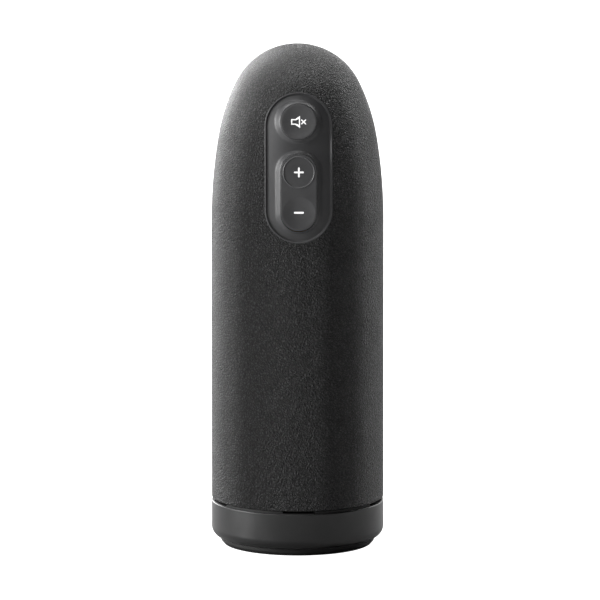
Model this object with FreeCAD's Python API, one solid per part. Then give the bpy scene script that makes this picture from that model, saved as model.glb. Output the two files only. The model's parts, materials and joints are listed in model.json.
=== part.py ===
"""Tall capsule-shaped conference speakerphone, modelled as an assembly. Millimetres.

The frame: origin on the table under the middle of the device, +Z up, the key panel faces -Y.
A leather-covered capsule stands on a smooth base ring. The panel in the capsule's front holds a
round mute key and a rocking volume key. The loudspeaker fires down onto a diffuser cone behind
the covering, the microphones listen through the slotted ring between the capsule and the base.
"""

import FreeCAD, Part
import math
import os

V = FreeCAD.Vector
OUT = "parts"
UP = V(0, 0, 1)
ACROSS = V(1, 0, 0)
BACKWARDS = V(0, 1, 0)
FAR = 60.0

# Capsule: a cylinder, then three tangent arcs up to the crown
BODY_R = 45.0
DOME_START_Z = 171.6
FLANK_RADIUS = 270.0
FLANK_ANGLE = math.radians(9.5)
SHOULDER_RADIUS = 102.0
SHOULDER_ANGLE = math.radians(26.5)

# Heights of the stack, from the table up
FOOT_TOP_Z = 4.0
BASE_TOP_Z = 23.1
BODY_BOTTOM_Z = 24.7
SKIN_HEM = 0.9
SHELL_SPLIT_Z = 158.0
SHELL_LAP = 4.0
LAP_GAP = 0.05

# Walls
SKIN = 1.0
SHELL = 2.4
SHELL_INNER = SKIN + SHELL
BASE_WALL = 2.5

# Base
FOOT_R = 40.2
FOOT_FLOOR_R = 38.6
FOOT_INNER_R = 30.5
FOOT_FLARE_H = 1.8
FOOT_TOP_BEVEL = 0.5
BASE_EDGE_RADIUS = 5.5
BASE_EDGE_TURN = math.radians(69.0)
BASE_LIP_R = 39.5
BASE_LIP_H = 2.5
BASE_TOP_BEVEL = 0.4
BASE_SCREW_R = 36.9
BASE_SCREWS = 3
BASE_SCREW_TURN = 30.0
BALLAST_R = 33.5
BALLAST_H = 6.4
PLATE_TOP_Z = 8.5

# Slotted ring
SLOT_RING_R = 44.2
SLOT_COUNT = 5
SLOT_PITCH = 69.0
SLOT_SPAN = 22.0
SLOT_HEIGHT = 0.95
SHADOW_GROOVE_R = 43.4
SHADOW_GROOVE_H = 0.35
SPIGOT_TOP_Z = 28.7
SLOT_RING_INNER_R = 40.0
SCREW_POST_R = 2.9
POST_NOTCH = 3.6

# Key panel: a stadium seen along its own normal, which leans back by PANEL_TILT
PANEL_Z = 206.5
PANEL_TILT = 10.0
PANEL_HALF_W = 17.85
PANEL_HALF_L = 39.5
PANEL_GAP = 0.15
PANEL_WALL = 1.2
PANEL_FLOOR_DEPTH = 1.4
PANEL_FLOOR = 1.7
PANEL_FLANGE = 2.2
BOARD_TOP_N = -11.6
BOARD_T = 1.2
BOARD_HALF_W = 15.2
BOARD_HALF_L = 30.5
POST_U = 13.5
POST_V = 27.0

# Keys
KEY_GAP = 0.25
KEY_R = 9.3
KEY_CAP = 2.2
KEY_SKIRT = 1.4
STEM_R = 2.2
COLLAR = 2.1
COLLAR_DROP = 0.45
COLLAR_DRAFT = 0.8
MUTE_V = 24.0
MUTE_TILT = 17.5
MUTE_DEPTH = 6.6
MUTE_FLANGE = 1.3
MUTE_GUIDE_DEPTH = 5.2
MUTE_GUIDE_WALL = 1.9
ROCKER_V = -12.9
ROCKER_TILT = 4.5
ROCKER_HALF_L = 20.25
ROCKER_DEPTH = 6.2
ROCKER_CROWN = 260.0
ROCKER_KEY_V = 10.6
DISH_R = 8.4
MUTE_DISH = 0.3
MINUS_DISH = 0.5
RING_RISE = 0.2
RING_W = 0.5
PIVOT_DEPTH = 5.0
PIVOT_R = 0.9
PIVOT_CLEARANCE = 0.05
PIVOT_HALF_L = 13.2
ICON_DEPTH = 0.8
GLYPH = 5.4
GLYPH_W = 1.2
HORN_W = 4.6
HORN_H = 6.2
HORN_BACK = 2.2
HORN_BOX_H = 3.0
HORN_LEFT = -3.9
HORN_STROKE = 0.72

# Loudspeaker, facing down
DRIVER_FLANGE_R = 30.0
DRIVER_FRONT_Z = 57.2
CONE_R = 22.0
COIL_R = 10.0
ROLL_OUTER_R = 25.3
DRIVER_SCREW_RING = 28.7
DRIVER_SCREW_R = 0.85
TERMINAL_Z = 68.0
BAFFLE_Z = 60.0
BAFFLE_T = 3.0
CHAMBER_R = 35.6
CHAMBER_TOP_Z = 118.0
WINDOW_COUNT = 18
WINDOW_HALF_W = 5.2
WINDOW_LOW_Z = 32.0
WINDOW_HIGH_Z = 55.0

# Rear port plate in the base ring
PORT_HALF_W = 13.0
PORT_LOW_Z = 10.0
PORT_HIGH_Z = 19.2
PORT_Z = 14.6
USB_X = 6.4
USB_W = 8.94
USB_H = 3.2
USB_DEPTH = 7.4
USB_FRONT_Y = 44.3
POWER_X = -6.8
POWER_R = 3.4
POWER_FLANGE_Y = 38.6
SWITCH_Y = 35.0
PORT_BOARD_T = 1.2
LEDGE_R = 38.8

# Electronics
MIC_COUNT = 8
MIC_TURN = 22.5
MIC_R = 33.5
MIC_H = 1.0
MIC_BOARD_Z = 19.4
MIC_BOARD_T = 1.2
CABLE_Y = 37.2
CABLE_R = 1.1
SPEAKER_LEAD_Y = 25.0
LEAD_BEND = 6.0
CONNECTOR_T = 3.0
FRAME_Z = 118.0
FRAME_T = 2.0
FRAME_SCREW_RING = 30.0
FRAME_SCREW_R = 0.95
MAIN_BOARD_Y = 8.0
MAIN_BOARD_T = 1.6
MAIN_BOARD_HALF_W = 26.0
MAIN_SCREW_X = 23.5
MAIN_SCREW_RISE = (10.0, 82.0)
CHIP_BACK = 2.0


# ---------------------------------------------------------------- helpers

def arcs():
    """The three arcs of the capsule's outline as (centre r, centre z, radius, start, end angle)."""
    flank = (BODY_R - FLANK_RADIUS, DOME_START_Z)
    step = FLANK_RADIUS - SHOULDER_RADIUS
    shoulder = (flank[0] + step * math.cos(FLANK_ANGLE), flank[1] + step * math.sin(FLANK_ANGLE))
    crown_radius = SHOULDER_RADIUS + shoulder[0] / math.cos(SHOULDER_ANGLE)
    rise = (SHOULDER_RADIUS - crown_radius) * math.sin(SHOULDER_ANGLE)
    crown = (0.0, shoulder[1] + rise)
    return [
        (*flank, FLANK_RADIUS, 0.0, FLANK_ANGLE),
        (*shoulder, SHOULDER_RADIUS, FLANK_ANGLE, SHOULDER_ANGLE),
        (*crown, crown_radius, SHOULDER_ANGLE, math.pi / 2),
    ]


def on_arc(arc, angle, offset):
    """A point of the outline, offset inwards, in the XZ plane."""
    radius = arc[2] - offset
    return V(arc[0] + radius * math.cos(angle), 0, arc[1] + radius * math.sin(angle))


def outline(offset, low_z):
    """Edges of the capsule's outline, offset inwards, from its lower end up to the axis."""
    edges = [line(V(BODY_R - offset, 0, low_z), V(BODY_R - offset, 0, DOME_START_Z))]
    for arc in arcs():
        start, end = arc[3], arc[4]
        middle = (start + end) / 2
        points = [on_arc(arc, angle, offset) for angle in (start, middle, end)]
        edges.append(Part.Arc(*points).toShape())
    return edges


def crown_z(offset):
    """Height of the capsule's top, offset inwards."""
    return on_arc(arcs()[2], math.pi / 2, offset).z


def line(a, b):
    return Part.LineSegment(a, b).toShape()


def spin(wire):
    """A solid of revolution about Z from a closed wire in the XZ plane."""
    return Part.Face(wire).revolve(V(0, 0, 0), UP, 360)


def capsule(offset, low_z):
    """The whole capsule, offset inwards, cut off flat at low_z."""
    axis_low, axis_high = V(0, 0, low_z), V(0, 0, crown_z(offset))
    edges = [line(axis_low, V(BODY_R - offset, 0, low_z))]
    edges += outline(offset, low_z)
    edges.append(line(axis_high, axis_low))
    return spin(Part.Wire(edges))


def capsule_wall(outer, inner, low_z):
    """The capsule between two offsets."""
    edges = outline(outer, low_z)
    edges.append(line(V(0, 0, crown_z(outer)), V(0, 0, crown_z(inner))))
    edges += reversed(outline(inner, low_z))
    edges.append(line(V(BODY_R - inner, 0, low_z), V(BODY_R - outer, 0, low_z)))
    return spin(Part.Wire(Part.__sortEdges__(edges)))


def tube(outer, inner, low_z, high_z):
    """A vertical tube, or a disc where inner is 0."""
    height = high_z - low_z
    body = Part.makeCylinder(outer, height, V(0, 0, low_z))
    if inner:
        body = body.cut(Part.makeCylinder(inner, height + 2, V(0, 0, low_z - 1)))
    return body


def turned(points):
    """A solid of revolution about Z from (r, z) corners."""
    corners = [V(r, 0, z) for r, z in points]
    return spin(Part.makePolygon(corners + corners[:1]))


def box(x0, x1, y0, y1, z0, z1):
    return Part.makeBox(x1 - x0, y1 - y0, z1 - z0, V(x0, y0, z0))


def around(shape, count, start=0.0):
    """Copies of a shape, spaced evenly about Z."""
    return [shape.rotated(V(0, 0, 0), UP, start + i * 360.0 / count) for i in range(count)]


def rod(radius, length, x, y, z):
    """A cylinder that starts at (x, y, z) and runs back along Y."""
    return Part.makeCylinder(radius, length, V(x, y, z), BACKWARDS)


def surface_radius(z):
    """Radius of the capsule's outside at a height."""
    if z <= DOME_START_Z:
        return BODY_R
    for r, centre_z, radius, _, end in arcs():
        if z <= centre_z + radius * math.sin(end) + 1e-9:
            return r + math.sqrt(radius ** 2 - (z - centre_z) ** 2)
    return 0.0


def leaning(y, z, tilt):
    """The placement of a part drawn flat: X across, Y up the panel, Z out of it, leaning back by tilt."""
    return FreeCAD.Placement(V(0, y, z), FreeCAD.Rotation(ACROSS, 90 - tilt))


def surface_height(v):
    """How far the capsule's outside stands above the panel plane, v up from the panel's centre."""
    lean = math.radians(PANEL_TILT)
    low, high = -15.0, 5.0
    while high - low > 1e-6:
        n = (low + high) / 2
        depth = surface_radius(PANEL_Z) - v * math.sin(lean) + n * math.cos(lean)
        outside = depth > surface_radius(PANEL_Z + v * math.cos(lean) + n * math.sin(lean))
        low, high = (low, n) if outside else (n, high)
    return low


def panel_frame():
    return leaning(-surface_radius(PANEL_Z), PANEL_Z, PANEL_TILT)


def key_frame(v, tilt):
    """The placement of a key whose face centre lies on the capsule's outside at v on the panel."""
    point = panel_frame().multVec(V(0, v, surface_height(v)))
    return leaning(point.y, point.z, tilt)


def placed(shape, frame):
    moved = shape.copy()
    moved.Placement = frame.multiply(moved.Placement)
    return moved


def stadium(half_w, half_l, low, high, v=0.0):
    """An upright prism with two straight sides and two round ends."""
    reach = half_l - half_w
    right_low, right_high = V(half_w, v - reach, low), V(half_w, v + reach, low)
    left_low, left_high = V(-half_w, v - reach, low), V(-half_w, v + reach, low)
    edges = [
        line(right_low, right_high),
        Part.Arc(right_high, V(0, v + half_l, low), left_high).toShape(),
        line(left_high, left_low),
        Part.Arc(left_low, V(0, v - half_l, low), right_low).toShape(),
    ]
    return Part.Face(Part.Wire(edges)).extrude(V(0, 0, high - low))


def tapered_stadium(half_w, half_l, low, high, spread):
    """A stadium that is wider at its lower end by spread all round."""
    reach = half_l - half_w
    ends = [
        Part.makeCone(half_w + spread, half_w, high - low, V(0, v, low), UP) for v in (-reach, reach)
    ]
    if reach < 0.01:
        return ends[0]
    section = [
        V(-half_w - spread, -reach, low), V(half_w + spread, -reach, low),
        V(half_w, -reach, high), V(-half_w, -reach, high),
    ]
    bar = Part.Face(Part.makePolygon(section + section[:1])).extrude(V(0, 2 * reach, 0))
    return bar.fuse(ends)


def post(x, y, low, high, radius):
    return Part.makeCylinder(radius, high - low, V(x, y, low))


def screw(x, y, head_z, length, radius, head_r, head_h, up=True):
    """A plain pan-head screw along Z. Its head starts at head_z, its shank goes up or down."""
    low_head = head_z if up else head_z - head_h
    low_shank = head_z + head_h if up else head_z - head_h - length
    head = post(x, y, low_head, low_head + head_h, head_r)
    low_drive = head_z if up else head_z - head_h / 2
    drive = post(x, y, low_drive, low_drive + head_h / 2, head_r * 0.45)
    shank = post(x, y, low_shank, low_shank + length, radius)
    return head.cut(drive).fuse(shank)


# ---------------------------------------------------------------- capsule

def panel_opening(gap, low=-14.0, high=12.0):
    """The prism through the covering and shell that the key panel fills."""
    return placed(stadium(PANEL_HALF_W + gap, PANEL_HALF_L + gap, low, high), panel_frame())


def leather_skin():
    wall = capsule_wall(0, SKIN, BODY_BOTTOM_Z)
    hem = tube(BODY_R - 0.2, BODY_R - SHELL_INNER + 0.2, BODY_BOTTOM_Z, BODY_BOTTOM_Z + SKIN_HEM)
    return wall.fuse(hem).cut(panel_opening(0.0)).removeSplitter()


def shell_dome():
    """The upper shell, with a thin lip that slides over the lower one."""
    wall = capsule_wall(SKIN, SHELL_INNER, SHELL_SPLIT_Z)
    middle_r = BODY_R - SKIN - SHELL / 2
    lip = tube(BODY_R - SKIN, middle_r + LAP_GAP, SHELL_SPLIT_Z - SHELL_LAP, SHELL_SPLIT_Z)
    return wall.fuse(lip).cut(panel_opening(0.0)).removeSplitter()


def shell_tube():
    """The lower shell, with windows for the sound and a ledge under the loudspeaker's baffle."""
    low_z = BODY_BOTTOM_Z + SKIN_HEM
    middle_r = BODY_R - SKIN - SHELL / 2
    inner_r = BODY_R - SHELL_INNER
    body = tube(BODY_R - SKIN, inner_r, low_z, SHELL_SPLIT_Z - SHELL_LAP)
    body = body.fuse(tube(middle_r - LAP_GAP, inner_r, SHELL_SPLIT_Z - SHELL_LAP, SHELL_SPLIT_Z))
    window = box(inner_r - 2, BODY_R, -WINDOW_HALF_W, WINDOW_HALF_W, WINDOW_LOW_Z, WINDOW_HIGH_Z)
    for cutter in around(window, WINDOW_COUNT):
        body = body.cut(cutter)
    ledge = tube(inner_r + 0.2, LEDGE_R, BAFFLE_Z - 2.5, BAFFLE_Z)
    return body.fuse(ledge).removeSplitter()


# ---------------------------------------------------------------- base

def base_ring():
    turn = BASE_EDGE_TURN
    centre = V(BODY_R - BASE_EDGE_RADIUS, 0, FOOT_TOP_Z + BASE_EDGE_RADIUS * math.sin(turn))
    arc_points = []
    for angle in (0.0, -turn / 2, -turn):
        reach = V(math.cos(angle), 0, math.sin(angle)) * BASE_EDGE_RADIUS
        arc_points.append(centre + reach)
    inner_r = BODY_R - BASE_WALL
    lip_top = FOOT_TOP_Z + BASE_LIP_H
    corners = [
        arc_points[2],
        V(BASE_LIP_R, 0, FOOT_TOP_Z),
        V(BASE_LIP_R, 0, lip_top),
        V(inner_r, 0, lip_top),
        V(inner_r, 0, BASE_TOP_Z),
        V(BODY_R - BASE_TOP_BEVEL, 0, BASE_TOP_Z),
        V(BODY_R, 0, BASE_TOP_Z - BASE_TOP_BEVEL),
        arc_points[0],
    ]
    edges = [line(a, b) for a, b in zip(corners, corners[1:])]
    edges.append(Part.Arc(*arc_points).toShape())
    ring = spin(Part.Wire(edges))
    return ring.cut(port_prism(0.0, 38.0, 50.0))


def port_prism(gap, y0, y1):
    """The rounded rectangle of the port plate, run along Y."""
    half_h = (PORT_HIGH_Z - PORT_LOW_Z) / 2 - gap
    half_w = PORT_HALF_W - gap
    flat = stadium(half_h, half_w, 0, y1 - y0)
    flat.rotate(V(0, 0, 0), UP, 90)
    return placed(flat, FreeCAD.Placement(V(0, y1, PORT_Z), FreeCAD.Rotation(ACROSS, 90)))


def base_plate():
    step_z = FOOT_TOP_Z + BASE_LIP_H
    plate = tube(BASE_LIP_R - 0.2, 0, FOOT_TOP_Z, step_z)
    plate = plate.fuse(tube(BODY_R - BASE_WALL - 0.2, 0, step_z, PLATE_TOP_Z))
    for hole in base_screw_copies(post(BASE_SCREW_R, 0, 0, 12, 1.7)):
        plate = plate.cut(hole)
    for sink in base_screw_copies(post(BASE_SCREW_R, 0, 0, FOOT_TOP_Z + 1.6, 3.1)):
        plate = plate.cut(sink)
    return plate.removeSplitter()


def base_screw_copies(shape):
    return around(shape, BASE_SCREWS, BASE_SCREW_TURN)


def rubber_foot():
    return turned([
        (FOOT_INNER_R, 0),
        (FOOT_FLOOR_R, 0),
        (FOOT_R, FOOT_FLARE_H),
        (FOOT_R, FOOT_TOP_Z - FOOT_TOP_BEVEL),
        (FOOT_R - FOOT_TOP_BEVEL, FOOT_TOP_Z),
        (FOOT_INNER_R, FOOT_TOP_Z),
    ])


def ballast_weight():
    """A steel ring on the base plate, notched at the back for the port board."""
    low_z = PLATE_TOP_Z
    weight = tube(BALLAST_R, 12.0, low_z, low_z + BALLAST_H)
    return weight.cut(box(-14, 14, 15, 50, low_z - 1, low_z + BALLAST_H + 1))


def base_screws():
    """Three screws under the foot that pull the base onto the slotted ring's posts."""
    one = screw(BASE_SCREW_R, 0, FOOT_TOP_Z + 0.2, 9.0, 1.3, 2.6, 1.4)
    return Part.makeCompound(base_screw_copies(one))


def slot_ring():
    """Sits on the base ring and carries the capsule. Its slots let sound in to the microphones."""
    inner_r = SLOT_RING_INNER_R
    skirt_z = BASE_TOP_Z - 3.0
    ring = tube(BODY_R - BASE_WALL - 0.15, inner_r, skirt_z, BASE_TOP_Z)
    groove_z = BODY_BOTTOM_Z - SHADOW_GROOVE_H
    ring = ring.fuse(tube(SLOT_RING_R, inner_r, BASE_TOP_Z, groove_z))
    ring = ring.fuse(tube(SHADOW_GROOVE_R, inner_r, groove_z, BODY_BOTTOM_Z))
    ring = ring.fuse(tube(BODY_R - SHELL_INNER - 0.15, inner_r, BODY_BOTTOM_Z, SPIGOT_TOP_Z))
    low, high = groove_z - SLOT_HEIGHT, groove_z
    wedge = tube(BODY_R + 1, inner_r - 1, low, high)
    for i in range(SLOT_COUNT):
        middle = -90 + (i - SLOT_COUNT // 2) * SLOT_PITCH
        ring = ring.cut(sector(wedge, middle, SLOT_SPAN))
    screw_post = post(BASE_SCREW_R, 0, PLATE_TOP_Z, BASE_TOP_Z, SCREW_POST_R)
    screw_post = screw_post.cut(tube(FAR, inner_r + 0.6, 0, FAR))
    web = box(BASE_SCREW_R, inner_r + 0.3, -SCREW_POST_R, SCREW_POST_R, skirt_z, BASE_TOP_Z + 0.2)
    for support in base_screw_copies(screw_post.fuse(web)):
        ring = ring.fuse(support)
    for hole in base_screw_copies(post(BASE_SCREW_R, 0, PLATE_TOP_Z - 1, BASE_TOP_Z - 3, 1.3)):
        ring = ring.cut(hole)
    return ring.removeSplitter()


def sector(shape, middle, span):
    """The part of a ring within span degrees about the direction middle."""
    half = math.radians(span / 2)
    centre = math.radians(middle)
    corners = [V(0, 0, 0)]
    for angle in (centre - half, centre + half):
        corners.append(V(FAR * math.cos(angle), FAR * math.sin(angle), 0))
    face = Part.Face(Part.makePolygon(corners + corners[:1]))
    return shape.common(face.extrude(V(0, 0, FAR)))


# ---------------------------------------------------------------- key panel

def collar(half_l, depth):
    """A raised rim around a key, in the key's own frame, down to depth."""
    half_w = KEY_R + COLLAR - COLLAR_DRAFT
    return tapered_stadium(half_w, half_l + COLLAR - COLLAR_DRAFT, -depth, -COLLAR_DROP, COLLAR_DRAFT)


def mute_frame():
    return key_frame(MUTE_V, MUTE_TILT)


def rocker_frame():
    return key_frame(ROCKER_V, ROCKER_TILT)


def crowned(solid, drop=0.0):
    """Trims a rocker-frame solid to the rocker's gently crowned face, lowered by drop."""
    drum = Part.makeCylinder(ROCKER_CROWN, FAR, V(-FAR / 2, 0, -ROCKER_CROWN - drop), ACROSS)
    return solid.common(drum)


def control_panel():
    frame = panel_frame()
    half_w, half_l = PANEL_HALF_W - PANEL_GAP, PANEL_HALF_L - PANEL_GAP
    floor_depth = PANEL_FLOOR_DEPTH + PANEL_FLOOR
    plug = placed(stadium(half_w, half_l, -14, 10), frame)
    hollow = placed(stadium(half_w - PANEL_WALL, half_l - PANEL_WALL, -16, 12), frame)
    wall = capsule_wall(0.1, SHELL_INNER + 0.15, 100).common(plug).cut(hollow)
    floor = capsule_wall(PANEL_FLOOR_DEPTH, floor_depth, 100).common(plug)
    wide = placed(stadium(half_w + PANEL_FLANGE, half_l + PANEL_FLANGE, -18, 12), frame)
    flange = capsule_wall(SHELL_INNER + 0.1, SHELL_INNER + 1.6, 100).common(wide)
    inner = placed(stadium(half_w - PANEL_WALL, half_l - PANEL_WALL, -20, 14), frame)
    body = wall.fuse([floor, flange.cut(inner)])
    mute_collar = placed(collar(KEY_R, 3.2), mute_frame())
    mute_guide = placed(post(0, 0, -MUTE_GUIDE_DEPTH, -2.0, KEY_R + MUTE_GUIDE_WALL), mute_frame())
    rocker_collar = placed(crowned(collar(ROCKER_HALF_L, 4.0), COLLAR_DROP), rocker_frame())
    ears = placed(box(-PIVOT_HALF_L, PIVOT_HALF_L, -2.2, 2.2, -PIVOT_DEPTH - 2, -2.0), rocker_frame())
    ears = ears.common(capsule(PANEL_FLOOR_DEPTH + 0.3, 150))
    body = body.fuse([mute_collar, mute_guide, rocker_collar, ears])
    body = body.fuse([placed(p, frame) for p in board_posts()])
    bore = Part.makeCylinder(KEY_R + KEY_GAP, 20, V(0, 0, -12))
    slot = stadium(KEY_R + KEY_GAP, ROCKER_HALF_L + KEY_GAP, -12, 8)
    pin = Part.makeCylinder(PIVOT_R, 2 * PIVOT_HALF_L + 2, V(-PIVOT_HALF_L - 1, 0, -PIVOT_DEPTH), ACROSS)
    body = body.cut([placed(bore, mute_frame()), placed(slot.fuse(pin), rocker_frame())])
    body = body.cut([placed(h, frame) for h in board_post_holes()])
    return body.removeSplitter()


def board_post_places():
    return [(u, v) for u in (-POST_U, POST_U) for v in (-POST_V, POST_V)]


def board_posts():
    shapes = []
    for u, v in board_post_places():
        top = surface_height(v) - PANEL_FLOOR_DEPTH - 3.2
        shapes.append(post(u, v, BOARD_TOP_N, top, 1.9))
    return shapes


def board_post_holes():
    return [post(u, v, BOARD_TOP_N - 1, BOARD_TOP_N + 3.0, 1.0) for u, v in board_post_places()]


def mute_glyph():
    """A loudspeaker outline and a small cross, drawn flat about the key's centre."""
    left, right, waist = HORN_LEFT, HORN_LEFT + HORN_W, HORN_LEFT + HORN_BACK
    low, high = HORN_BOX_H / 2, HORN_H / 2
    outer = [(left, -low), (waist, -low), (right, -high), (right, high), (waist, low), (left, low)]
    left, right, waist = left + HORN_STROKE, right - HORN_STROKE, waist + HORN_STROKE / 3
    low, high = low - HORN_STROKE, high - 2.4 * HORN_STROKE
    inner = [(left, -low), (waist, -low), (right, -high), (right, high), (waist, low), (left, low)]
    horn = prism(outer).cut(prism(inner))
    cross_x, arm = HORN_LEFT + HORN_W + 1.75, 3.4
    bars = []
    for angle in (45, -45):
        bar = stadium(HORN_STROKE / 2, arm / 2, -10, 10)
        bar.rotate(V(0, 0, 0), UP, angle)
        bar.translate(V(cross_x, 0, 0))
        bars.append(bar)
    return horn.fuse(bars[0].fuse(bars[1]))


def prism(points):
    corners = [V(x, y, -10) for x, y in points]
    return Part.Face(Part.makePolygon(corners + corners[:1])).extrude(V(0, 0, 20))


def minus_glyph():
    bar = stadium(GLYPH_W / 2, GLYPH / 2, -10, 10)
    bar.rotate(V(0, 0, 0), UP, 90)
    return bar


def plus_glyph():
    return minus_glyph().fuse(stadium(GLYPH_W / 2, GLYPH / 2, -10, 10))


def dish(depth, v=0.0, level=0.0):
    """A shallow ball that leaves a dish of DISH_R."""
    radius = (DISH_R ** 2 + depth ** 2) / (2 * depth)
    return Part.makeSphere(radius, V(0, v, level + radius - depth))


def mute_blank():
    cap = Part.makeCylinder(KEY_R, MUTE_DEPTH, V(0, 0, -MUTE_DEPTH))
    flange = Part.makeCylinder(KEY_R + 1.4, MUTE_FLANGE, V(0, 0, -MUTE_DEPTH))
    hollow = Part.makeCylinder(KEY_R - KEY_SKIRT, MUTE_DEPTH - KEY_CAP, V(0, 0, -MUTE_DEPTH))
    stem = Part.makeCylinder(STEM_R, MUTE_DEPTH - KEY_CAP + 0.2, V(0, 0, -MUTE_DEPTH))
    body = cap.fuse(flange).cut(hollow).fuse(stem)
    return body.cut(dish(MUTE_DISH)).removeSplitter()


def top_layer(depth):
    """The space an icon may fill: from depth below a key's face upwards."""
    return box(-FAR, FAR, -FAR, FAR, -depth, FAR)


def mute_prism():
    return mute_glyph().common(top_layer(ICON_DEPTH + MUTE_DISH))


def mute_key():
    return placed(mute_blank().cut(mute_prism()), mute_frame())


def mute_icon():
    return placed(mute_blank().common(mute_prism()), mute_frame())


def rocker_blank():
    """The volume key with a ring around the plus end and a dish at the minus end."""
    cap = crowned(stadium(KEY_R, ROCKER_HALF_L, -ROCKER_DEPTH, 1))
    inner_w, inner_l = KEY_R - KEY_SKIRT, ROCKER_HALF_L - KEY_SKIRT
    hollow = stadium(inner_w, inner_l, -ROCKER_DEPTH, -KEY_CAP - 0.8)
    rib = box(-inner_w - 0.2, inner_w + 0.2, -2.2, 2.2, -ROCKER_DEPTH, -KEY_CAP)
    body = cap.cut(hollow).fuse(rib)
    for v in (-ROCKER_KEY_V, ROCKER_KEY_V):
        body = body.fuse(Part.makeCylinder(STEM_R, ROCKER_DEPTH - KEY_CAP, V(0, v, -ROCKER_DEPTH)))
    level = crown_level(ROCKER_KEY_V)
    ring = Part.makeCylinder(DISH_R, 1.0 + RING_RISE, V(0, ROCKER_KEY_V, level - 1.0))
    ring = ring.cut(Part.makeCylinder(DISH_R - RING_W, 4, V(0, ROCKER_KEY_V, level - 2)))
    body = body.fuse(ring).cut(dish(MINUS_DISH, -ROCKER_KEY_V, level))
    bore = Part.makeCylinder(PIVOT_R + PIVOT_CLEARANCE, 30, V(-15, 0, -PIVOT_DEPTH), ACROSS)
    return body.cut(bore).removeSplitter()


def crown_level(v):
    """Height of the rocker's crowned face at v."""
    return math.sqrt(ROCKER_CROWN ** 2 - v ** 2) - ROCKER_CROWN


def plus_prism():
    glyph = plus_glyph()
    glyph.translate(V(0, ROCKER_KEY_V, 0))
    return glyph.common(top_layer(ICON_DEPTH))


def minus_prism():
    glyph = minus_glyph()
    glyph.translate(V(0, -ROCKER_KEY_V, 0))
    return glyph.common(top_layer(ICON_DEPTH + MINUS_DISH))


def volume_rocker():
    return placed(rocker_blank().cut([plus_prism(), minus_prism()]), rocker_frame())


def plus_icon():
    return placed(rocker_blank().common(plus_prism()), rocker_frame())


def minus_icon():
    return placed(rocker_blank().common(minus_prism()), rocker_frame())


def rocker_pin():
    pin = Part.makeCylinder(PIVOT_R, 2 * PIVOT_HALF_L, V(-PIVOT_HALF_L, 0, -PIVOT_DEPTH), ACROSS)
    return placed(pin, rocker_frame())


def above_board():
    """Everything on the outer side of the key board."""
    return placed(box(-FAR, FAR, -FAR, FAR, BOARD_TOP_N, FAR), panel_frame())


def rubber_dome(frame, v, depth):
    """A bell of silicone rubber between a key's stem and the board."""
    foot_r, wall, cone_h, skirt_h = 4.2, 0.8, 4.0, 6.0
    inner_r, low = foot_r - wall, -depth - cone_h
    bell = Part.makeCone(foot_r, STEM_R, cone_h, V(0, v, low))
    skirt = Part.makeCylinder(foot_r, skirt_h, V(0, v, low - skirt_h))
    hollow = Part.makeCone(inner_r, STEM_R - wall, cone_h, V(0, v, low - wall))
    deep = Part.makeCylinder(inner_r, skirt_h, V(0, v, low - wall - skirt_h))
    solid = bell.fuse(skirt).cut(hollow.fuse(deep))
    return placed(solid, frame).common(above_board())


def mute_dome():
    return rubber_dome(mute_frame(), 0.0, MUTE_DEPTH)


def plus_dome():
    return rubber_dome(rocker_frame(), ROCKER_KEY_V, ROCKER_DEPTH)


def minus_dome():
    return rubber_dome(rocker_frame(), -ROCKER_KEY_V, ROCKER_DEPTH)


def key_board():
    low = BOARD_TOP_N - BOARD_T
    board = stadium(BOARD_HALF_W, BOARD_HALF_L, low, BOARD_TOP_N)
    for u, v in board_post_places():
        board = board.fuse(post(u, v, low, BOARD_TOP_N, 2.6))
    connector = box(-5.5, 5.5, -POST_V - 2.0, -POST_V + 2.0, low - CHIP_BACK, low)
    board = board.fuse(connector)
    for u, v in board_post_places():
        board = board.cut(post(u, v, low - 3, BOARD_TOP_N + 3, 1.1))
    return placed(board.removeSplitter(), panel_frame())


def key_board_screws():
    head_n = BOARD_TOP_N - BOARD_T - 1.2
    return Part.makeCompound([
        placed(screw(u, v, head_n, 3.6, 0.95, 1.9, 1.2), panel_frame()) for u, v in board_post_places()
    ])


# ---------------------------------------------------------------- loudspeaker

def speaker_baffle():
    plate = tube(BODY_R - SHELL_INNER - 0.3, 27.4, BAFFLE_Z, BAFFLE_Z + BAFFLE_T)
    for hole in driver_screw_copies(driver_screw_hole(0.0)):
        plate = plate.cut(hole)
    return plate.cut(cable_duct())


def driver_screw_copies(shape):
    return around(shape, 4, 45)


def driver_screw_hole(gap):
    return post(DRIVER_SCREW_RING, 0, 40, 80, DRIVER_SCREW_R + gap)


def cable_duct():
    """The straight way up the back that the power lead takes past plates and rings."""
    return post(0, CABLE_Y, 10, 140, CABLE_R + 0.5)


def speaker_basket():
    z = DRIVER_FRONT_Z
    wall = [
        (25.0, z), (DRIVER_FLANGE_R, z), (DRIVER_FLANGE_R, z + 2.0), (27.0, z + 2.0), (27.0, z + 4.0),
        (22.0, z + 13.0), (19.2, z + 16.0), (19.2, z + 18.0), (11.6, z + 18.0), (11.6, z + 16.8),
        (17.6, z + 16.8), (20.4, z + 12.0), (ROLL_OUTER_R, z + 3.6), (ROLL_OUTER_R, z + 1.2),
        (25.0, z + 1.2),
    ]
    basket = turned(wall)
    window = box(14, 40, -5.5, 5.5, z + 5.0, z + 12.5)
    for cutter in around(window, 6):
        basket = basket.cut(cutter)
    for hole in driver_screw_copies(driver_screw_hole(0.05)):
        basket = basket.cut(hole)
    terminal = box(-3, 3, 23.4, 26.6, z + 6.0, TERMINAL_Z)
    return basket.fuse(terminal).removeSplitter()


def speaker_top_plate():
    return tube(19.0, COIL_R + 0.8, DRIVER_FRONT_Z + 18.0, DRIVER_FRONT_Z + 21.0)


def speaker_magnet():
    return tube(21.0, 12.5, DRIVER_FRONT_Z + 21.0, DRIVER_FRONT_Z + 29.0)


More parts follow.
